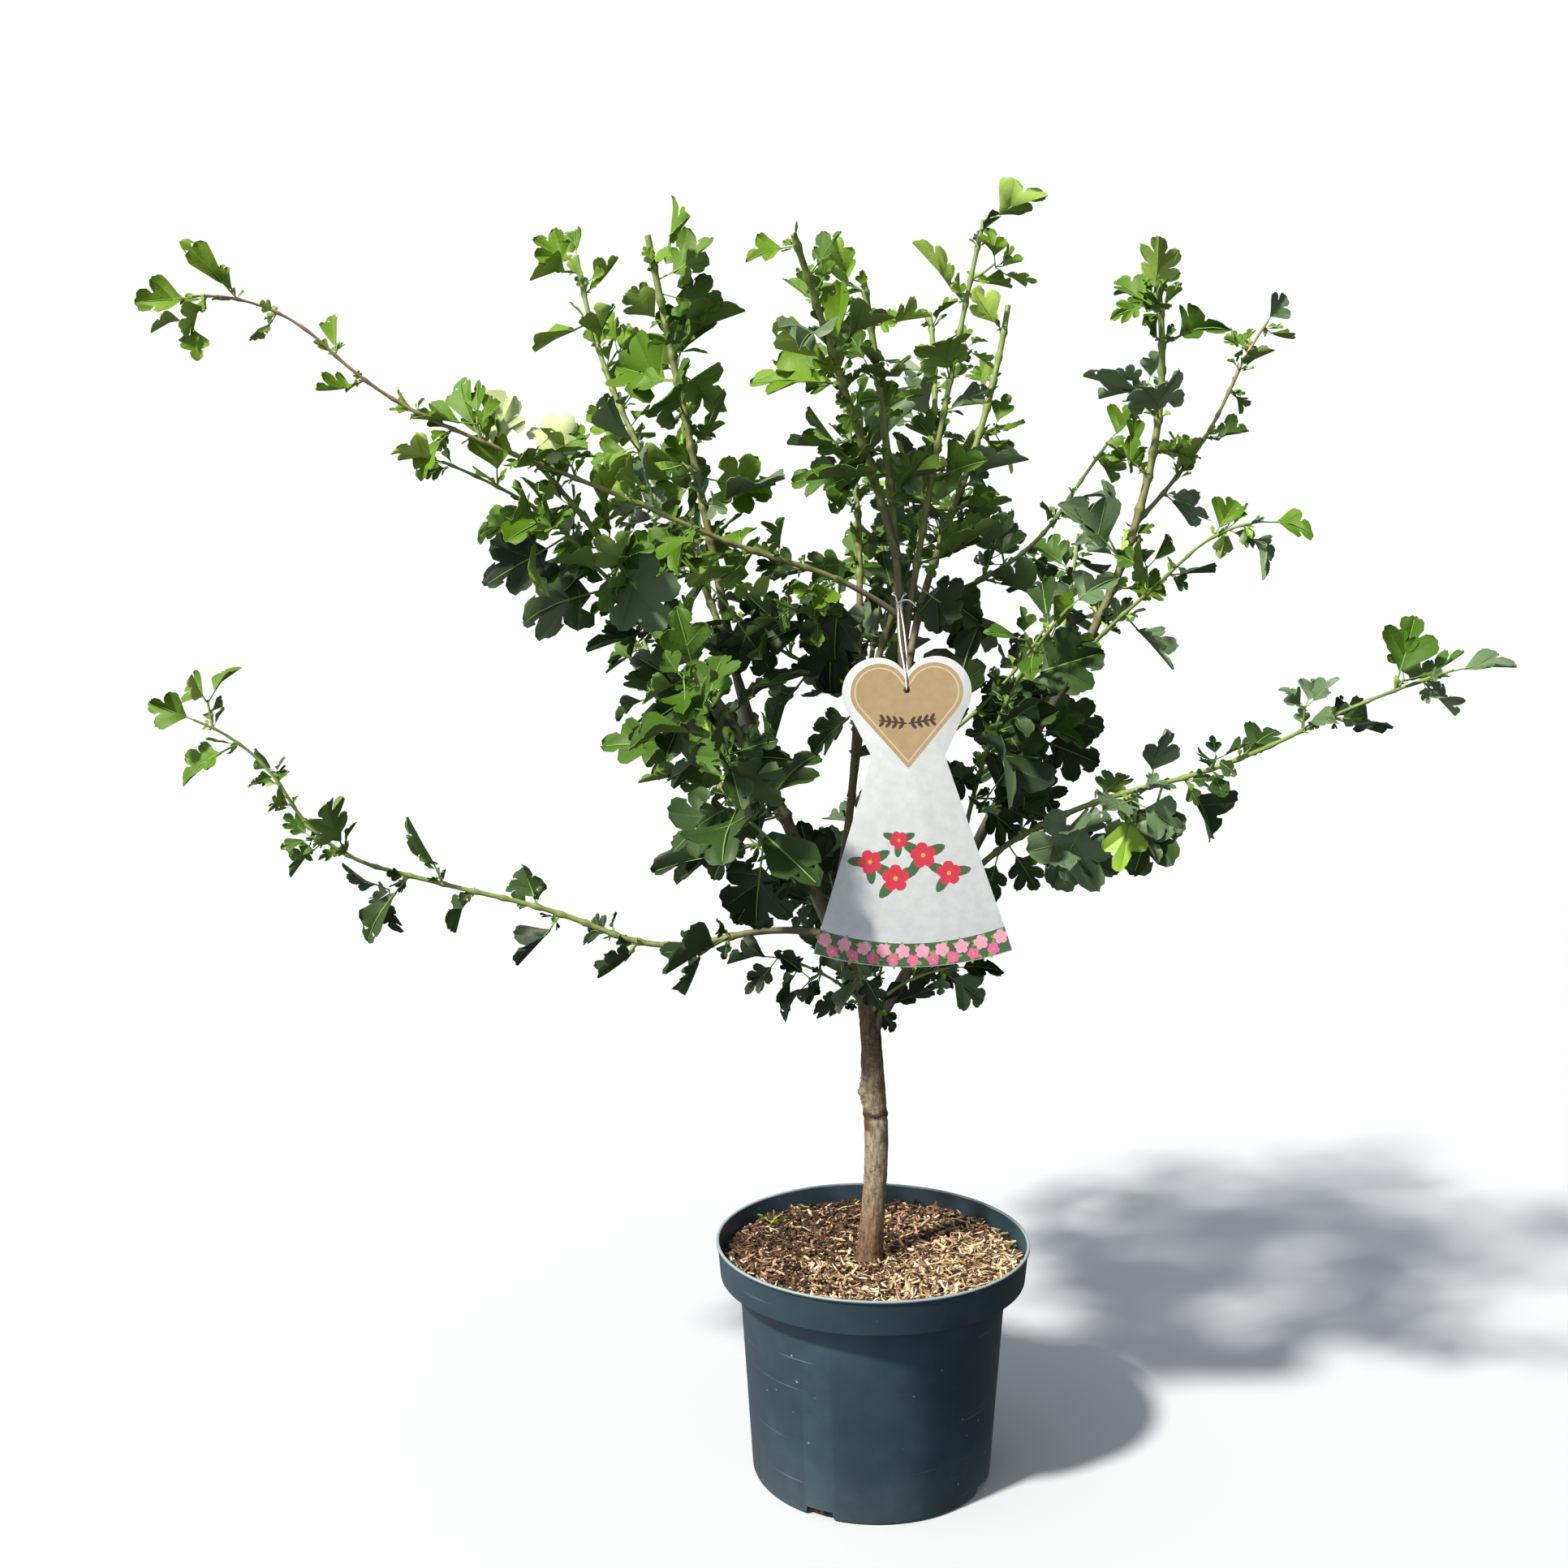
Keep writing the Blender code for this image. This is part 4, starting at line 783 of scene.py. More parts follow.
def bentLeaf(pattern, rng, foldRange, length):
    points, faces, slots = pattern
    x, y, z = points.T
    size = leafSizes
    stalk = size["stalk"]
    fold = math.radians(rng.uniform(*foldRange))
    curl, wave, twist = (rng.uniform(*size[name]) for name in ("curl", "wave", "twist"))
    phase, other = rng.uniform(0, 6), rng.uniform(0, 6)
    blade = np.clip((y - stalk) / (1 - stalk), 0, 1)
    waves = np.sin(9 * x + phase) + np.sin(7 * y + other) + np.sin(14 * x * y + phase)
    lifted = z + np.abs(x) * math.sin(fold) * np.minimum(blade * 4, 1)
    lifted = lifted + wave * blade * waves * np.minimum(np.abs(x) * 6, 1)
    narrowed = x * (1 - (1 - math.cos(fold)) * blade)
    turned = twist * blade
    crossed = narrowed * np.cos(turned) - lifted * np.sin(turned)
    raised = narrowed * np.sin(turned) + lifted * np.cos(turned)
    bend = curl * blade + 0.001
    along = np.where(blade > 0, stalk + np.sin(bend) / bend * (y - stalk), y)
    dropped = raised - (1 - np.cos(bend)) / bend * (y - stalk) * (blade > 0)
    dropped = dropped - size["stalkSag"] * np.minimum(y / stalk, 1) ** 2
    return np.stack([crossed, along, dropped], -1) * length, faces, slots


class Foliage:
    def __init__(self):
        self.patterns = {kind: leafPattern(kind) for kind in leafKinds}
        self.copies = {}
        self.toLabel = np.array(labelFrame().inverted())

    def hidesLabel(self, points):
        size = labelSizes
        x, y, z = (points @ self.toLabel[:3, :3].T + self.toLabel[:3, 3]).T / mm
        skirt = size["neckHalf"] + (-size["neckDrop"] - y) * size["clearSlope"]
        half = np.where(y > -size["neckDrop"], size["heartHalf"], skirt)
        inside = (np.abs(x) < half - 1) & (y < size["clearAbove"]) & (y > -size["clearBelow"])
        return (inside & (z > -size["clearBehind"]) & (z < size["clearAhead"])).any()

    def addLeaf(self, group, root, way, length, kind, tone, rng, foldRange=None, faceUp=None):
        size = massSizes
        outwards = Vector((root.x, root.y, 0)).normalized() * size["faceOut"]
        scatter = Vector([rng.uniform(-1, 1) * size["faceScatter"] for _ in range(3)])
        faceUp = faceUp or Vector(size["faceLight"]) + outwards + scatter
        normal = (faceUp - way * faceUp.dot(way)).normalized()
        turned = np.array(Matrix((way.cross(normal), way, normal)).transposed())
        points, faces, slots = bentLeaf(self.patterns[kind], rng, foldRange or leafSizes["fold"], length)
        placed = points @ turned.T + np.array(root)
        if self.hidesLabel(placed):
            return False
        place, count = list(leafTones).index(tone), len(leafTones)
        finishes = np.array([place, count + place, 2 * count])    # upper side, underside, rib
        self.copies.setdefault(group, []).append((placed, faces, finishes[slots]))
        return True


def leafTone(root, rng):
    size = lightSizes
    height = (root.z - size["crownFoot"]) / size["crownRise"]
    light = size["byHeight"] * height + size["byReach"] * math.hypot(root.x, root.y)
    light = light - size["fromLeft"] * root.x - size["fromFront"] * root.y - size["less"]
    light += rng.gauss(0, size["scatter"])
    # painted sheen: some leaves on the right and at the top get a grey-green tone that stands for the sky
    # their gloss reflects
    placed = root.x > size["skySheenRightOf"] or root.z > size["skySheenAbove"]
    if rng.random() < size["glaucous"] and placed:
        return "glaucous"
    # painted light and shade: the leaf's colour is picked by how sunny its place is
    return next((tone for tone, least in size["least"].items() if light > least), "shade")


def massNodes(shoot):
    size = massSizes
    rng = random.Random("hawthorn " + shoot.name)
    step = size["nodeStep"] / shoot.length
    share = shoot.bare / shoot.length + step / 2
    number = rng.randrange(100)
    found = []
    while share < 1 - step / 4:
        found.append((number, share, number * size["divergence"] + rng.uniform(-1, 1) * size["turnScatter"]))
        number += 1
        share += step * rng.uniform(*size["stepScatter"])
    return found


def clothe(foliage, twigs, group, shoot, path, nodes):
    size = massSizes
    rng = random.Random("looks " + shoot.name)
    scale, kept = shootLooks.get(shoot.name, shootLooks["usual"])
    leaf = shoot.leaf * mm * size["leafShare"] * scale
    for number, share, turn in nodes:
        if number * kept % 1 >= kept:        # bare nodes come evenly
            continue
        root, way = pointOn(path, share), wayOn(path, share)
        skin = between((shoot.foot, shoot.tip), share) / 2 * mm
        length = leaf * rng.uniform(*size["leafScatter"]) * between(size["leafGrowth"], share)
        tone = leafTone(root, rng)
        weights = size["lowKinds" if share < size["kindsChange"] else "highKinds"]
        kind = rng.choices(size["kinds"], weights)[0]
        out = leafWay(root, way, turn, rng, tone)
        for attempt in range(1, size["tries"] + 1):
            if foliage.addLeaf(group, root + out * skin * 0.5, out, length, kind, tone, rng):
                break
            out = leafWay(root, way, turn + size["retryTurn"] * attempt, rng, tone)
        if number % size["spurEvery"] == 0:
            spurWay = leaning(way, turn + 40, size["spurLean"])
            spur = rng.uniform(*size["spurLengths"]) * mm
            twigs.append((growTwig(root, spurWay, spur), size["spurDiameters"]))
            addTuft(foliage, group, root + spurWay * spur, spurWay, length, tone, rng,
                    rng.randint(*size["spurLeaves"]), size["spurSizes"], turn)
        elif number % size["twigEvery"] == 0 and share < size["twigUntil"] and kept > size["twigKept"]:
            twigWay = leaning(way, turn + 180, size["twigLean"])
            reach = rng.uniform(*size["twigLengths"]) * mm
            twig = growTwig(root, twigWay, reach)
            twigs.append((twig, size["twigDiameters"]))
            count = max(2, round(reach / mm / size["twigStep"]))
            for place in range(1, count + 1):
                spot, heading = pointOn(twig, place / count), wayOn(twig, min(place / count, 0.99))
                out = leafWay(spot, heading, turn + place * size["divergence"], rng, tone)
                leafLength = length * rng.uniform(*size["twigSizes"])
                leafKind = rng.choice(size["twigKinds"])
                foliage.addLeaf(group, spot, out, leafLength, leafKind, leafTone(spot, rng), rng)
        addTuft(foliage, group, root + out * skin, leaning(way, turn + 25, 40), length, tone, rng,
                rng.randint(*size["tuftLeaves"]), size["tuftSizes"], turn + 60)
        for hand in (-1, 1):
            bud = rng.uniform(*size["budSizes"]) * mm
            budWay = leaning(way, turn + hand * size["budTurn"], size["budLean"])
            foliage.addLeaf(group, root, budWay, bud, "spoon", "young", rng, size["budFold"])


def leafWay(root, way, turn, rng, tone):
    size = massSizes
    out = leaning(way, turn, rng.uniform(*size["leafLeans"]))
    hang = size["hang"] * rng.random() * size["hangDark" if tone in ("deep", "shade") else "hangLit"]
    if root.z < size["skirtTop"] * mm:        # nothing hangs in front of the fork
        hang = size["skirtHang"]
    return (out - up * hang).normalized()


def growTwig(root, way, length):
    tip = root + way * length + up * length * massSizes["twigRise"]
    middle = (root + tip) / 2 - up * length * massSizes["twigSag"]
    return [root, root.lerp(middle, 0.5), middle, middle.lerp(tip, 0.5), tip]


def addTuft(foliage, group, root, way, length, tone, rng, count, sizes, turn):
    for leaf in range(count):
        out = leaning(way, turn + leaf * 360 / count, rng.uniform(*massSizes["tuftLeans"]))
        young = rng.random() < massSizes["tuftYoung"] and tone in ("sunlit", "bright", "glaucous")
        leafLength = length * rng.uniform(*sizes)
        kind = rng.choice(massSizes["tuftKinds"])
        foliage.addLeaf(group, root, out, leafLength, kind, "young" if young else tone, rng,
                        massSizes["tuftFold"])


def leafBlade(name, colour, roughness):
    # A thin leathery leaf: waxy, so it shines softly, with a fine uneven skin between its veins
    finish, tree, place = newMaterial(name, colour, roughness, 0.2)
    skin = addNode(tree, "TexNoise", Vector=place, Scale=380, Detail=3)    # 3 mm puckers
    bump = addNode(tree, "Bump", Height=skin, Strength=0.35, Distance=0.6 * mm)
    return feed(finish, normal=bump)


seedlingSizes = {"place": (-84, 50, 179), "leaves": 5, "rises": (12, 50), "length": 13, "fold": (4, 20)}
groups = {
    "left": ("left", "low_left", "long_left", "upright_left", "tall_left", "front_left", "inner_left",
             "short_left"),
    "top": ("centre", "centre_left", "front_top", "tallest", "centre_right", "back_top"),
    "right": ("right", "right_side", "inner_right", "low_right", "front_right", "short_right"),
    "back": ("back", "back_left", "back_right", "back_low", "skirt_front", "skirt_right", "skirt_back",
             "skirt_left"),
}


def makeFoliage(paths, nodes):
    size = massSizes
    foliage = Foliage()
    twigs = []
    for group, names in groups.items():
        for shoot in shoots + sideShoots:
            if shoot.name not in names and not (shoot in sideShoots and shoot.carrier in names):
                continue
            path = paths[shoot.name]
            rng = random.Random("tip " + shoot.name)
            tip = pointOn(path, 0.99)
            if shoot.name == "tallest":        # one large leaf tops the plant
                foliage.addLeaf(group, tip, headingVector(0, size["topRise"]), size["topLeaf"] * mm, "three",
                                "bright", rng)
            if not shoot.pruned:
                foliage.addLeaf(group, tip, wayOn(path, 1), shoot.leaf * mm * size["tipLeaf"], "three",
                                leafTone(tip, rng), rng)
            clothe(foliage, twigs, group, shoot, path, nodes[shoot.name])
            for share, heading, rise, length, kind, tone in chosenLeaves.get(shoot.name, ()):
                face = Vector((0.1, 1, -0.2) if tone == "pale" else (-0.2, -0.9, 0.45))
                foliage.addLeaf(group, pointOn(path, share), headingVector(heading, rise), length * mm, kind,
                                tone, rng, size["chosenFold"], face)
    finishes = [leafBlade("leaf_" + name, tone[0], tone[2]) for name, tone in leafTones.items()]
    for name, tone in leafTones.items():        # the undersides are duller
        finishes.append(leafBlade("leaf_underside_" + name, tone[1], tone[2] + 0.15))
    finishes.append(leafBlade("leaf_rib", "#587238", 0.55))
    weed = seedlingSizes
    rng = random.Random("seedling")
    for number in range(weed["leaves"]):
        way = headingVector(number * size["divergence"], rng.uniform(*weed["rises"]))
        foliage.addLeaf("seedling", Vector(weed["place"]) * mm, way, weed["length"] * mm, "spoon", "young",
                        rng, weed["fold"], up)
    seedling = joinCopies("mulch_seedling", foliage.copies["seedling"])
    dress("mulch_seedling", seedling, finishes)
    for group, names in groups.items():
        mesh = joinCopies("leaves_of_" + group, foliage.copies[group])
        dress("leaves_of_" + group, mesh, finishes, ["leaves_" + name for name in names], 50)
    return twigs


def makeStems(paths, nodes, twigs):
    size = limbSizes
    bm = bmesh.new()
    for shoot in shoots + sideShoots:
        before = set(bm.faces)
        limb = limbShape(shoot, [share for _, share, _ in nodes[shoot.name]])
        caps = wrapLimb(bm, paths[shoot.name], shoot.bare / shoot.length, 1, *limb, size["stemSides"],
                        size["stemStep"] * mm, limbRelief)
        if shoot.name in pinkTips:
            for face in set(bm.faces) - before:
                face.material_index = 1
        if shoot.pruned:
            for face in caps:
                face.material_index = 2
    for twig, diameters in twigs:
        wrapLimb(bm, twig, 0, 1, lambda share: between(diameters, share) / 2 * mm,
                 lambda share: size["twigAge"], size["twigSides"], size["twigStep"] * mm)
    finishes = [shootBark("green_shoot_bark", "#66793a", "#636a3a", "#54503c"),
                shootBark("pinkish_shoot_bark", "#836a55", "#6a7040", "#5c5840"), cutWood()]
    return dress("green_stems", outward(bm), finishes,
                 ["leaves_" + shoot.name for shoot in shoots], 50)


# Label: a stiff card, a heart over a flared skirt, printed with a design of its own

labelSizes = {
    "hole": (22, -88, 627), "lean": 5, "swing": -1.7, "thickness": 0.8, "holeRadius": 2.4,
    "heartHalf": 46, "lobeRadius": 25, "lobeDrop": 1.5, "notchRise": 12, "neckHalf": 26, "neckDrop": 47,
    "skirtHalf": 71, "skirtDrop": 187, "skirtSag": 11, "edgeRound": 0.18, "layer": 0.025, "inkStep": 0.0004,
    "panelRadius": 20.6, "panelAcross": 19.4, "panelNotch": 5.4, "panelTip": 56, "lineInset": 2.7,
    "lineWidth": 1, "sprigDrop": 24, "sprigLength": 21, "sprigLeaves": 4, "sprigStep": (2.5, 4.6),
    "sprayBlossoms": ((-29, -122, 17), (-11, -134, 19), (9, -118, 18), (27, -131, 17), (-8, -107, 13)),
    "sprayLeaves": (0.5, 2.7, 4.4), "bandDepth": 17, "bandBlossoms": 9, "bandRises": (11.5, 5),
    "bandAcross": (10, 8.5),
    # No leaf may stand in front of the card: the room that is kept clear, seen from its hole
    "clearSlope": 0.33, "clearAbove": 24, "clearBelow": 200, "clearBehind": 3, "clearAhead": 200,
}
labelInks = {  # colour, roughness
    # the white is a pale grey: the card's white with painted shade, standing for the leaf shade the card
    # hangs in
    "white": ("#a1a7ac", 0.42), "tan": ("#857356", 0.4), "cream": ("#9f9579", 0.4),
    "brown": ("#2c1f18", 0.45), "red": ("#9c1f30", 0.4), "pink": ("#a94a74", 0.42),
    "green": ("#2a4b28", 0.42), "lime": ("#5c7a3c", 0.42), "rose": ("#b77a95", 0.42),
    "yellow": ("#a58535", 0.42),
}


def labelFrame():        # from the card's own plane, in metres, to its place: its hole is at 0
    size = labelSizes
    swung = Matrix.Rotation(math.radians(size["swing"]), 4, "Y")
    upright = Matrix.Rotation(math.radians(90 - size["lean"]), 4, "X")
    return Matrix.Translation(Vector(size["hole"]) * mm) @ swung @ upright


def coatedCard(name, colour, roughness):
    # Stiff coated card: satin, faintly uneven where the ink lies on it
    finish, tree, place = newMaterial("coated_card_" + name, colour, roughness, 0.45)
    mottle = addNode(tree, "TexNoise", Vector=place, Scale=160, Detail=3)    # 6 mm mottle
    value = addNode(tree, "MapRange", mottle, 0.3, 0.7, 0.94, 1.06)
    ink = addNode(tree, "HueSaturation", Color=colour, Value=value)
    bump = addNode(tree, "Bump", Height=mottle, Strength=0.12, Distance=0.4 * mm)
    return feed(finish, ink, bump)


def mirrored(half):
    return half + [(-x, y) for x, y in reversed(half) if x > 0]


def arcPoints(centre, radius, start, end, step):
    turns = [math.radians(start - step * number) for number in range(int((start - end) / step) + 1)]
    return [(centre[0] + radius * math.cos(turn), centre[1] + radius * math.sin(turn)) for turn in turns]


def hemPoints(rise, shares):
    size = labelSizes
    drop = size["skirtDrop"] - rise
    flare = (size["skirtHalf"] - size["neckHalf"]) * (drop - size["neckDrop"])
    half = size["neckHalf"] + flare / (size["skirtDrop"] - size["neckDrop"])
    return [(half * share, -drop - size["skirtSag"] * (1 - share * share)) for share in shares]


def cardOutline():
    size = labelSizes
    centre = (size["heartHalf"] - size["lobeRadius"], -size["lobeDrop"])
    lobe = arcPoints(centre, size["lobeRadius"], 125, -35, 5)
    half = [(0, size["notchRise"])] + lobe + [(size["neckHalf"], -size["neckDrop"])]
    return mirrored(half + hemPoints(0, (1, 0.84, 0.68, 0.52, 0.36, 0.2)) + hemPoints(0, (0,)))


def heartOutline(inset):
    size = labelSizes
    centre = (size["panelAcross"], -size["lobeDrop"])
    lobe = arcPoints(centre, size["panelRadius"] - inset, 150, -40, 5)
    return mirrored([(0, size["panelNotch"] - inset * 1.2)] + lobe + [(0, inset * 1.5 - size["panelTip"])])


def stamp(bm, outline, low, high, ink):
    face = bm.faces.new([bm.verts.new((x, y, low)) for x, y in outline])
    raised = bmesh.ops.extrude_face_region(bm, geom=[face], use_keep_orig=True)["geom"]
    lifted = [item for item in raised if isinstance(item, bmesh.types.BMVert)]
    bmesh.ops.translate(bm, verts=lifted, vec=(0, 0, high - low))
    for vert in lifted:
        for side in vert.link_faces:
            side.material_index = list(labelInks).index(ink)
    return lifted


def petal(x, y, length, width, turn, blunt=1.0):
    points = []
    for step in range(12):
        angle = math.tau * step / 12
        along = length * (0.5 - 0.5 * math.cos(angle))
        across = width / 2 * math.copysign(abs(math.sin(angle)) ** blunt, math.sin(angle))
        points.append((x + along * math.cos(turn) - across * math.sin(turn),
                       y + along * math.sin(turn) + across * math.cos(turn)))
    return points


def makeLabel():
    size = labelSizes
    rng = random.Random("label design")
    inks = list(labelInks)
    top = size["thickness"]
    bm = bmesh.new()
    inset = size["lineInset"]
    layers = (("white", cardOutline()), ("tan", heartOutline(0)), ("cream", heartOutline(inset)),
              ("tan", heartOutline(inset + size["lineWidth"])))
    for layer, (colour, outline) in enumerate(layers):   # each sheet is punched before it is printed
        sheet = bmesh.new()
        stamp(sheet, outline, top - 0.1 if layer else 0, top + size["layer"] * layer, colour)
        if layer == 0:
            rims = [edge for edge in sheet.edges
                    if edge.calc_face_angle(0) > 1.2 and abs(edge.verts[0].co.z - edge.verts[1].co.z) < 0.1]
            bmesh.ops.bevel(sheet, geom=rims, offset=size["edgeRound"], offset_type="OFFSET", segments=2,
                            profile=0.5, affect="EDGES", material=-1)
        punch = bmesh.new()
        bmesh.ops.create_cone(punch, cap_ends=True, segments=36, radius1=size["holeRadius"],
                              radius2=size["holeRadius"], depth=10)
        printed = set(bm.faces)
        bm.from_mesh(carve(toMesh("sheet", outward(sheet)), toMesh("punch", punch)))
        for face in set(bm.faces) - printed:
            face.material_index = inks.index(colour)
    level = iter(range(1, 400))        # every print lies a hair above the one before

    def ink(outline, colour, layer):
        stamp(bm, outline, top - 0.1, top + size["layer"] * layer + size["inkStep"] * next(level), colour)

    def blossom(x, y, across, colour, layer):
        spin = rng.uniform(0, math.tau)
        for number in range(5):
            turn = spin + math.tau * number / 5
            ink(petal(x, y, across * 0.52, across * 0.46, turn, 0.7), colour, layer)
        ink(petal(x - across * 0.09, y, across * 0.18, across * 0.18, 0), "yellow", layer + 1)

    for side in (-1, 1):        # a plain sprig where the panel is widest
        ink(petal(0, -size["sprigDrop"], size["sprigLength"], 1.5, math.pi * (side < 0) + side * 0.14, 0.4),
            "brown", 4)
        first, step = size["sprigStep"]
        for number in range(size["sprigLeaves"]):
            out = side * (first + step * number)
            for tilt in (1.0, -0.8):
                turn = math.pi / 2 * (1 - side) + side * tilt
                ink(petal(out, -size["sprigDrop"] + abs(out) * 0.14, 5.6, 2.4, turn, 1.2), "brown", 4)
    for x, y, across in size["sprayBlossoms"]:
        for turn in size["sprayLeaves"]:
            ink(petal(x, y, across * 0.95, across * 0.42, turn + rng.uniform(-0.4, 0.4), 1.2), "green", 1)
    for x, y, across in size["sprayBlossoms"]:
        blossom(x, y, across, "red", 2)
    shares = [number / 8 for number in range(-8, 9)]
    ink(hemPoints(0.5, [share * 0.992 for share in shares]) +
        hemPoints(size["bandDepth"], list(reversed(shares))), "green", 1)
    for number in range(size["bandBlossoms"] * 2 + 1):
        share = (number - size["bandBlossoms"]) / size["bandBlossoms"] * 0.93
        low = number % 2        # every second blossom sits lower, and is smaller and deeper pink
        x, y = hemPoints(size["bandRises"][low], (share,))[0]
        for _ in range(3):
            ink(petal(x, y, 7, 2.6, rng.uniform(0, math.tau), 1.2), "lime", 2)
        blossom(x, y, size["bandAcross"][low], "pink" if low else "rose", 3)
    bmesh.ops.transform(outward(bm), matrix=labelFrame() @ Matrix.Scale(mm, 4), verts=bm.verts[:])
    finishes = [coatedCard(name, colour, rough) for name, (colour, rough) in labelInks.items()]
    return dress("card_label", bm, finishes, ["label"], 30)


stringSizes = {
    "diameter": 1.2, "at": 0.565, "slack": 1.0, "spacing": 1.9, "bow": 1.3, "knotDrop": 9, "knotTurns": 2.5,
    "knotHalf": (1.8, 1.5), "knotFoot": -1.4, "knotPitch": 0.12, "ringTilt": 1.2,
    "end": ((3, -1.5, 2.5), (7, -2.5, 3.6), (11, -3, 2.2), (14, -3.2, -1.5)),
}


def twistedTwine():
    # Thin white twisted twine: matt, its strands show as fine slanting ridges
    finish, tree, place = newMaterial("twisted_twine", "#d8d8d2", 0.8, 0.2)
    slanted = addNode(tree, "Mapping", place, Rotation=(0, math.radians(38), 0))
    strands = addNode(tree, "TexWave", Vector=slanted, Scale=260, Distortion=1.5).outputs["Fac"]
    # painted shade: the grooves between the strands are coloured darker and the ridges lighter
    tone = addNode(tree, "ValToRGB", strands, stops=((0.0, "#a9a9a2"), (0.6, "#dededa")))
    bump = addNode(tree, "Bump", Height=strands, Strength=0.5, Distance=0.2 * mm)
    return feed(finish, tone, bump)


def makeString(path, shoot):
    size = stringSizes
    thick = size["diameter"]
    card = labelSizes["thickness"]
    hole = labelFrame() @ Matrix.Scale(mm, 4)
    ring = pointOn(path, size["at"])
    radius = between((shoot.foot, shoot.tip), size["at"]) / 2 + thick / 2 + size["slack"]
    front = hole @ Vector((0, thick, card + 1.1 * thick))
    over = hole @ Vector((0, labelSizes["notchRise"] + thick, card + 1.5 * thick))
    rear = hole @ Vector((0, thick, -1.6 * thick))
    knot = ring + Vector((0, -radius - 2 * thick, -size["knotDrop"])) * mm
    side = Vector((size["spacing"] / 2 * mm, 0, 0))
    bow = Vector((size["bow"] * mm, 0, 0))
    rises = (0.2, 0.4, 0.6, 0.8)
    loop = [hole @ Vector((0, 0, card / 2)), front, (front + over - side) / 2, over - side]
    loop += [over.lerp(knot, share) - side - bow * math.sin(math.pi * share) for share in rises]
    loop.append(knot - side * 0.8)
    for turn in range(-120, -421, -20):        # once round the bough
        tilt = up * math.sin(math.radians(turn)) * size["ringTilt"]
        loop.append(ring + (headingVector(turn, 0) * radius + tilt) * mm)
    loop.append(knot + side * 0.8)
    loop += [rear.lerp(knot, share) + side + bow * math.sin(math.pi * share) for share in reversed(rises)]
    loop.append(rear)
    wound = []
    wide, deep = size["knotHalf"]
    for step in range(int(size["knotTurns"] * 10) + 1):
        turn = math.tau * step / 10
        rise = size["knotFoot"] + size["knotPitch"] * step
        wound.append(knot + Vector((math.cos(turn) * wide, math.sin(turn) * deep, rise)) * mm)
    end = [wound[-1] + Vector(offset) * mm for offset in size["end"]]
    curve = bpy.data.curves.new("twine", "CURVE")
    curve.dimensions = "3D"
    curve.bevel_depth = thick / 2 * mm
    curve.bevel_resolution = 3
    curve.use_fill_caps = True
    curve.resolution_u = 4
    for points, closed in ((loop, True), (wound + end, False)):
        spline = curve.splines.new("NURBS")
        spline.points.add(len(points) - 1)
        for point, place in zip(spline.points, points):
            point.co = (*place, 1)
        spline.order_u = 3
        spline.use_cyclic_u = closed
        spline.use_endpoint_u = not closed
    holder = addObject("twine", curve)
    mesh = evaluated(holder)
    bpy.data.objects.remove(holder)
    return dress("label_twine_loop", mesh, [twistedTwine()], ["label_string"], 60)


# Stage: a plain pale floor, a soft key light from the upper left front, and the photo's camera

stageSizes = {
    "distance": 1.3, "height": 0.698, "pitch": 6.53, "yaw": 3.09, "focal": 2094, "frame": 1932, "sensor": 36,
    "floorRadius": 60, "floorDrop": 0.2, "floorFill": 0.78, "worldColour": "#fcfeff", "worldStrength": 1.04,
    "sunWay": (-0.6, -0.57, 0.92), "sunStrength": 9.2, "sunAngle": 5, "sunColour": "#fff6e6",
    "fillWay": (-0.7, -0.45, 0.55), "fillFacing": (-0.5, 0.9), "fillLevels": (0.15, 1.25),
}


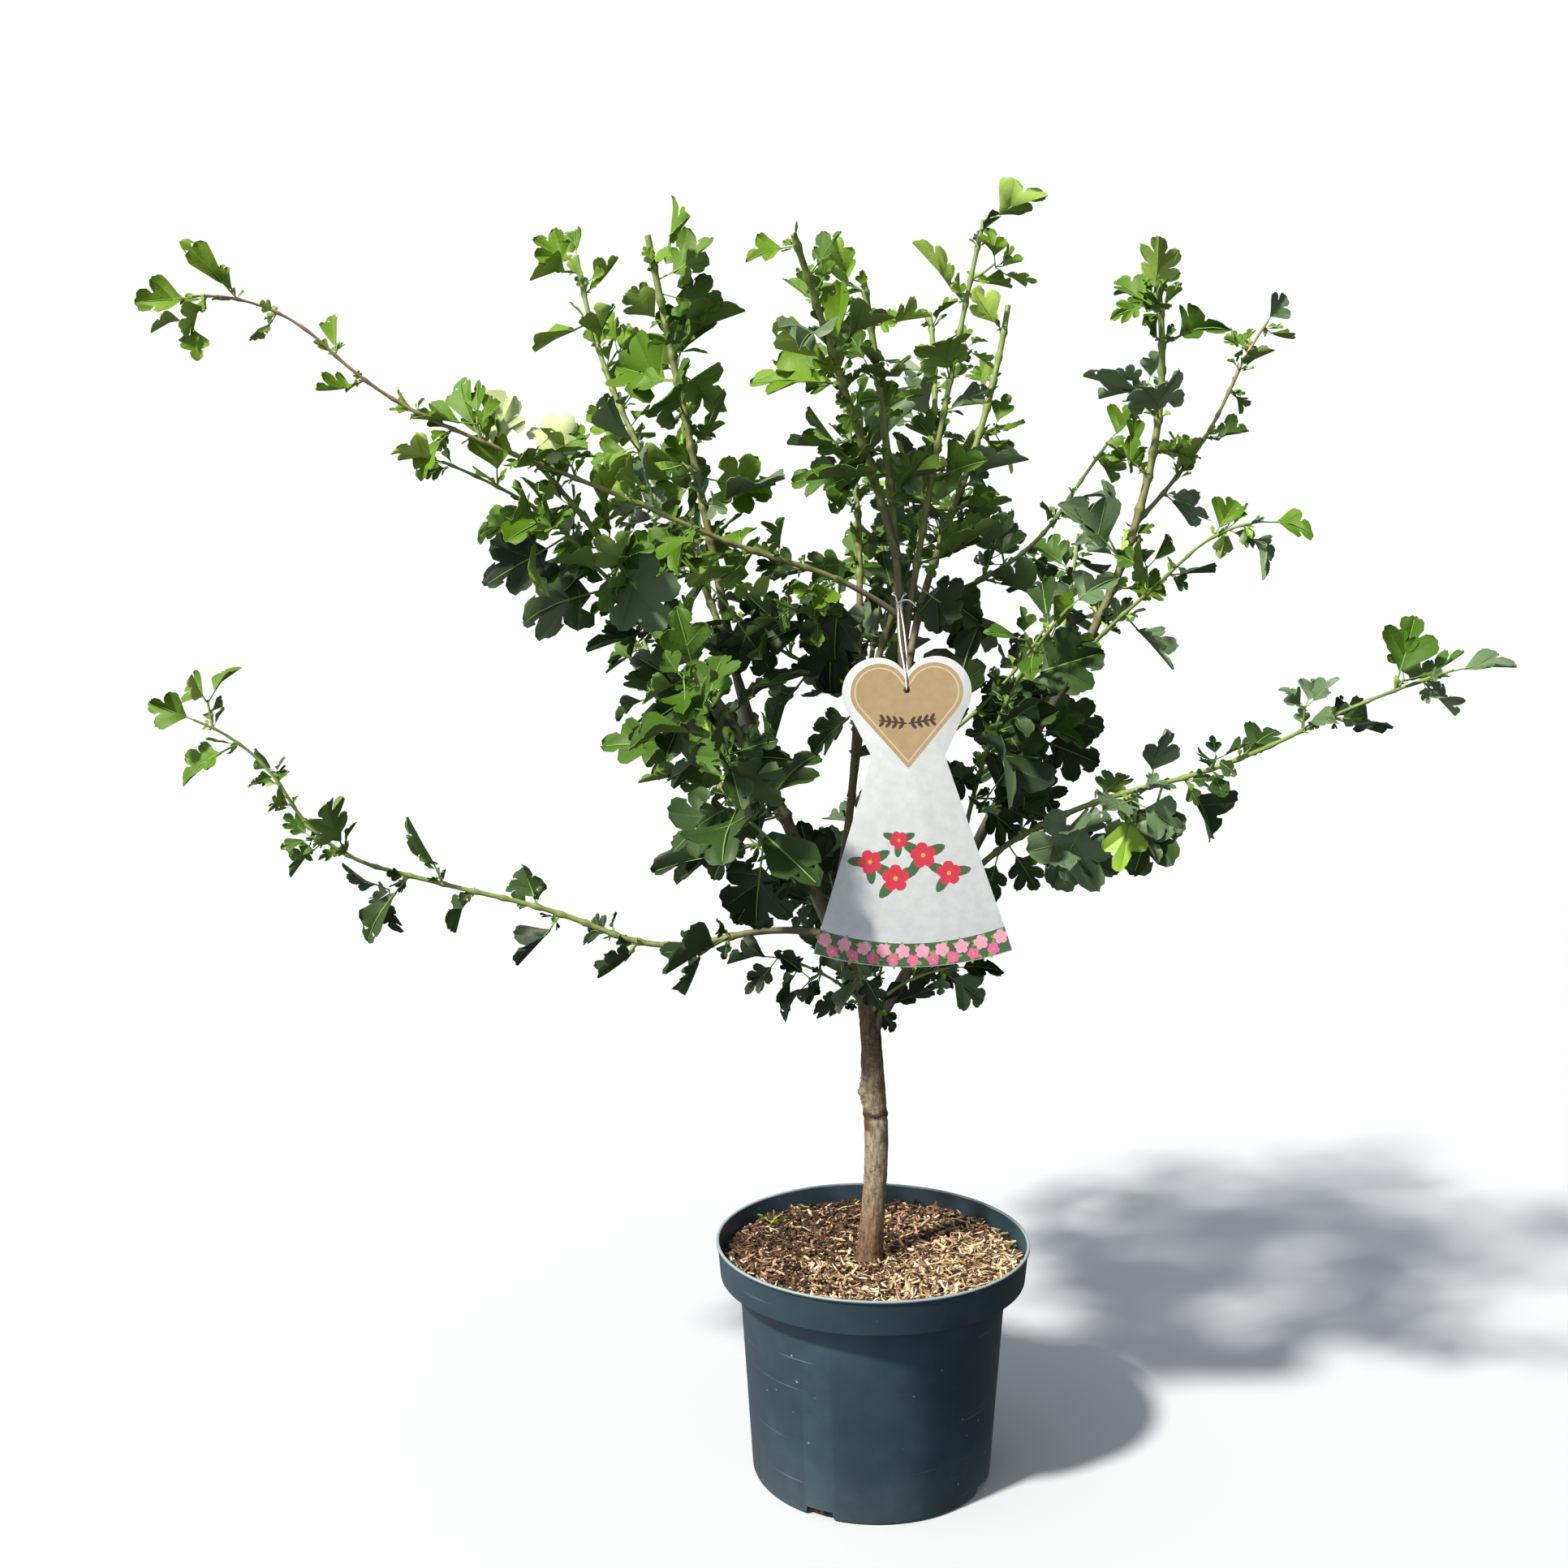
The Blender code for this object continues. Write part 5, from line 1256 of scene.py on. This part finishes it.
def makeStage():
    size = stageSizes
    camera = bpy.data.cameras.new("camera")
    camera.sensor_width = size["sensor"]
    camera.lens = size["focal"] / size["frame"] * size["sensor"]
    holder = addObject("camera", camera)
    holder.location = (0, -size["distance"], size["height"])
    holder.rotation_euler = (math.radians(90 - size["pitch"]), 0, math.radians(size["yaw"]))
    scene.camera = holder
    bm = bmesh.new()
    bmesh.ops.create_circle(bm, cap_ends=True, segments=96, radius=size["floorRadius"])
    # Matt paint that looks as bright as the sky behind it, so that the floor's far edge can't be seen
    finish, tree, _ = newMaterial("matt_paint", "#808080", 0.9, 0)
    sky = [value * size["worldStrength"] for value in linear(size["worldColour"])[:3]]
    height = Vector(size["sunWay"]).normalized().z
    sunlight = [value * size["sunStrength"] * height / math.pi for value in linear(size["sunColour"])[:3]]
    level = [seen / (seen * size["floorFill"] + direct) for seen, direct in zip(sky, sunlight)]
    tree.nodes["Principled BSDF"].inputs["Base Color"].default_value = level + [1]
    floor = addObject("floor", toMesh("floor", bm))
    floor.data.materials.append(finish)
    floor.location.z = -size["floorDrop"] * mm
    floor.visible_diffuse = False        # the fill light comes from the softbox alone
    floor.visible_glossy = False
    world = bpy.data.worlds.new("studio")
    world.use_nodes = True
    tree = world.node_tree
    background = tree.nodes["Background"]        # what the camera sees behind the floor
    background.inputs["Color"].default_value = linear(size["worldColour"])
    background.inputs["Strength"].default_value = size["worldStrength"]
    way = addNode(tree, "TexCoord").outputs["Generated"]
    toLight = Vector(size["fillWay"]).normalized()
    facing = addNode(tree, "VectorMath", way, toLight, operation="DOT_PRODUCT").outputs["Value"]
    fill = addNode(tree, "MapRange", facing, *size["fillFacing"], *size["fillLevels"])
    softbox = addNode(tree, "Background", size["worldColour"], fill)
    seen = addNode(tree, "LightPath").outputs["Is Camera Ray"]
    both = addNode(tree, "MixShader", seen, softbox, background)
    tree.links.new(both.outputs[0], tree.nodes["World Output"].inputs["Surface"])
    scene.world = world
    sun = bpy.data.lights.new("key", "SUN")
    sun.energy = size["sunStrength"]
    sun.angle = math.radians(size["sunAngle"])
    sun.color = linear(size["sunColour"])[:3]
    lamp = addObject("key", sun)
    lamp.rotation_euler = up.rotation_difference(Vector(size["sunWay"])).to_euler()
    scene.view_settings.view_transform = "Standard"


makeStage()
makePot()
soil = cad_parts["compost"]
soil.data.materials.clear()
soil.data.materials.append(dampCompost())
makeMulch(soil)
makeTrunk()
paths = shootPaths()
makeBoughs(paths)
nodes = {shoot.name: massNodes(shoot) for shoot in shoots + sideShoots}
twigs = makeFoliage(paths, nodes)
makeStems(paths, nodes, twigs)
makeLabel()
makeString(paths["centre"], next(shoot for shoot in shoots if shoot.name == "centre"))
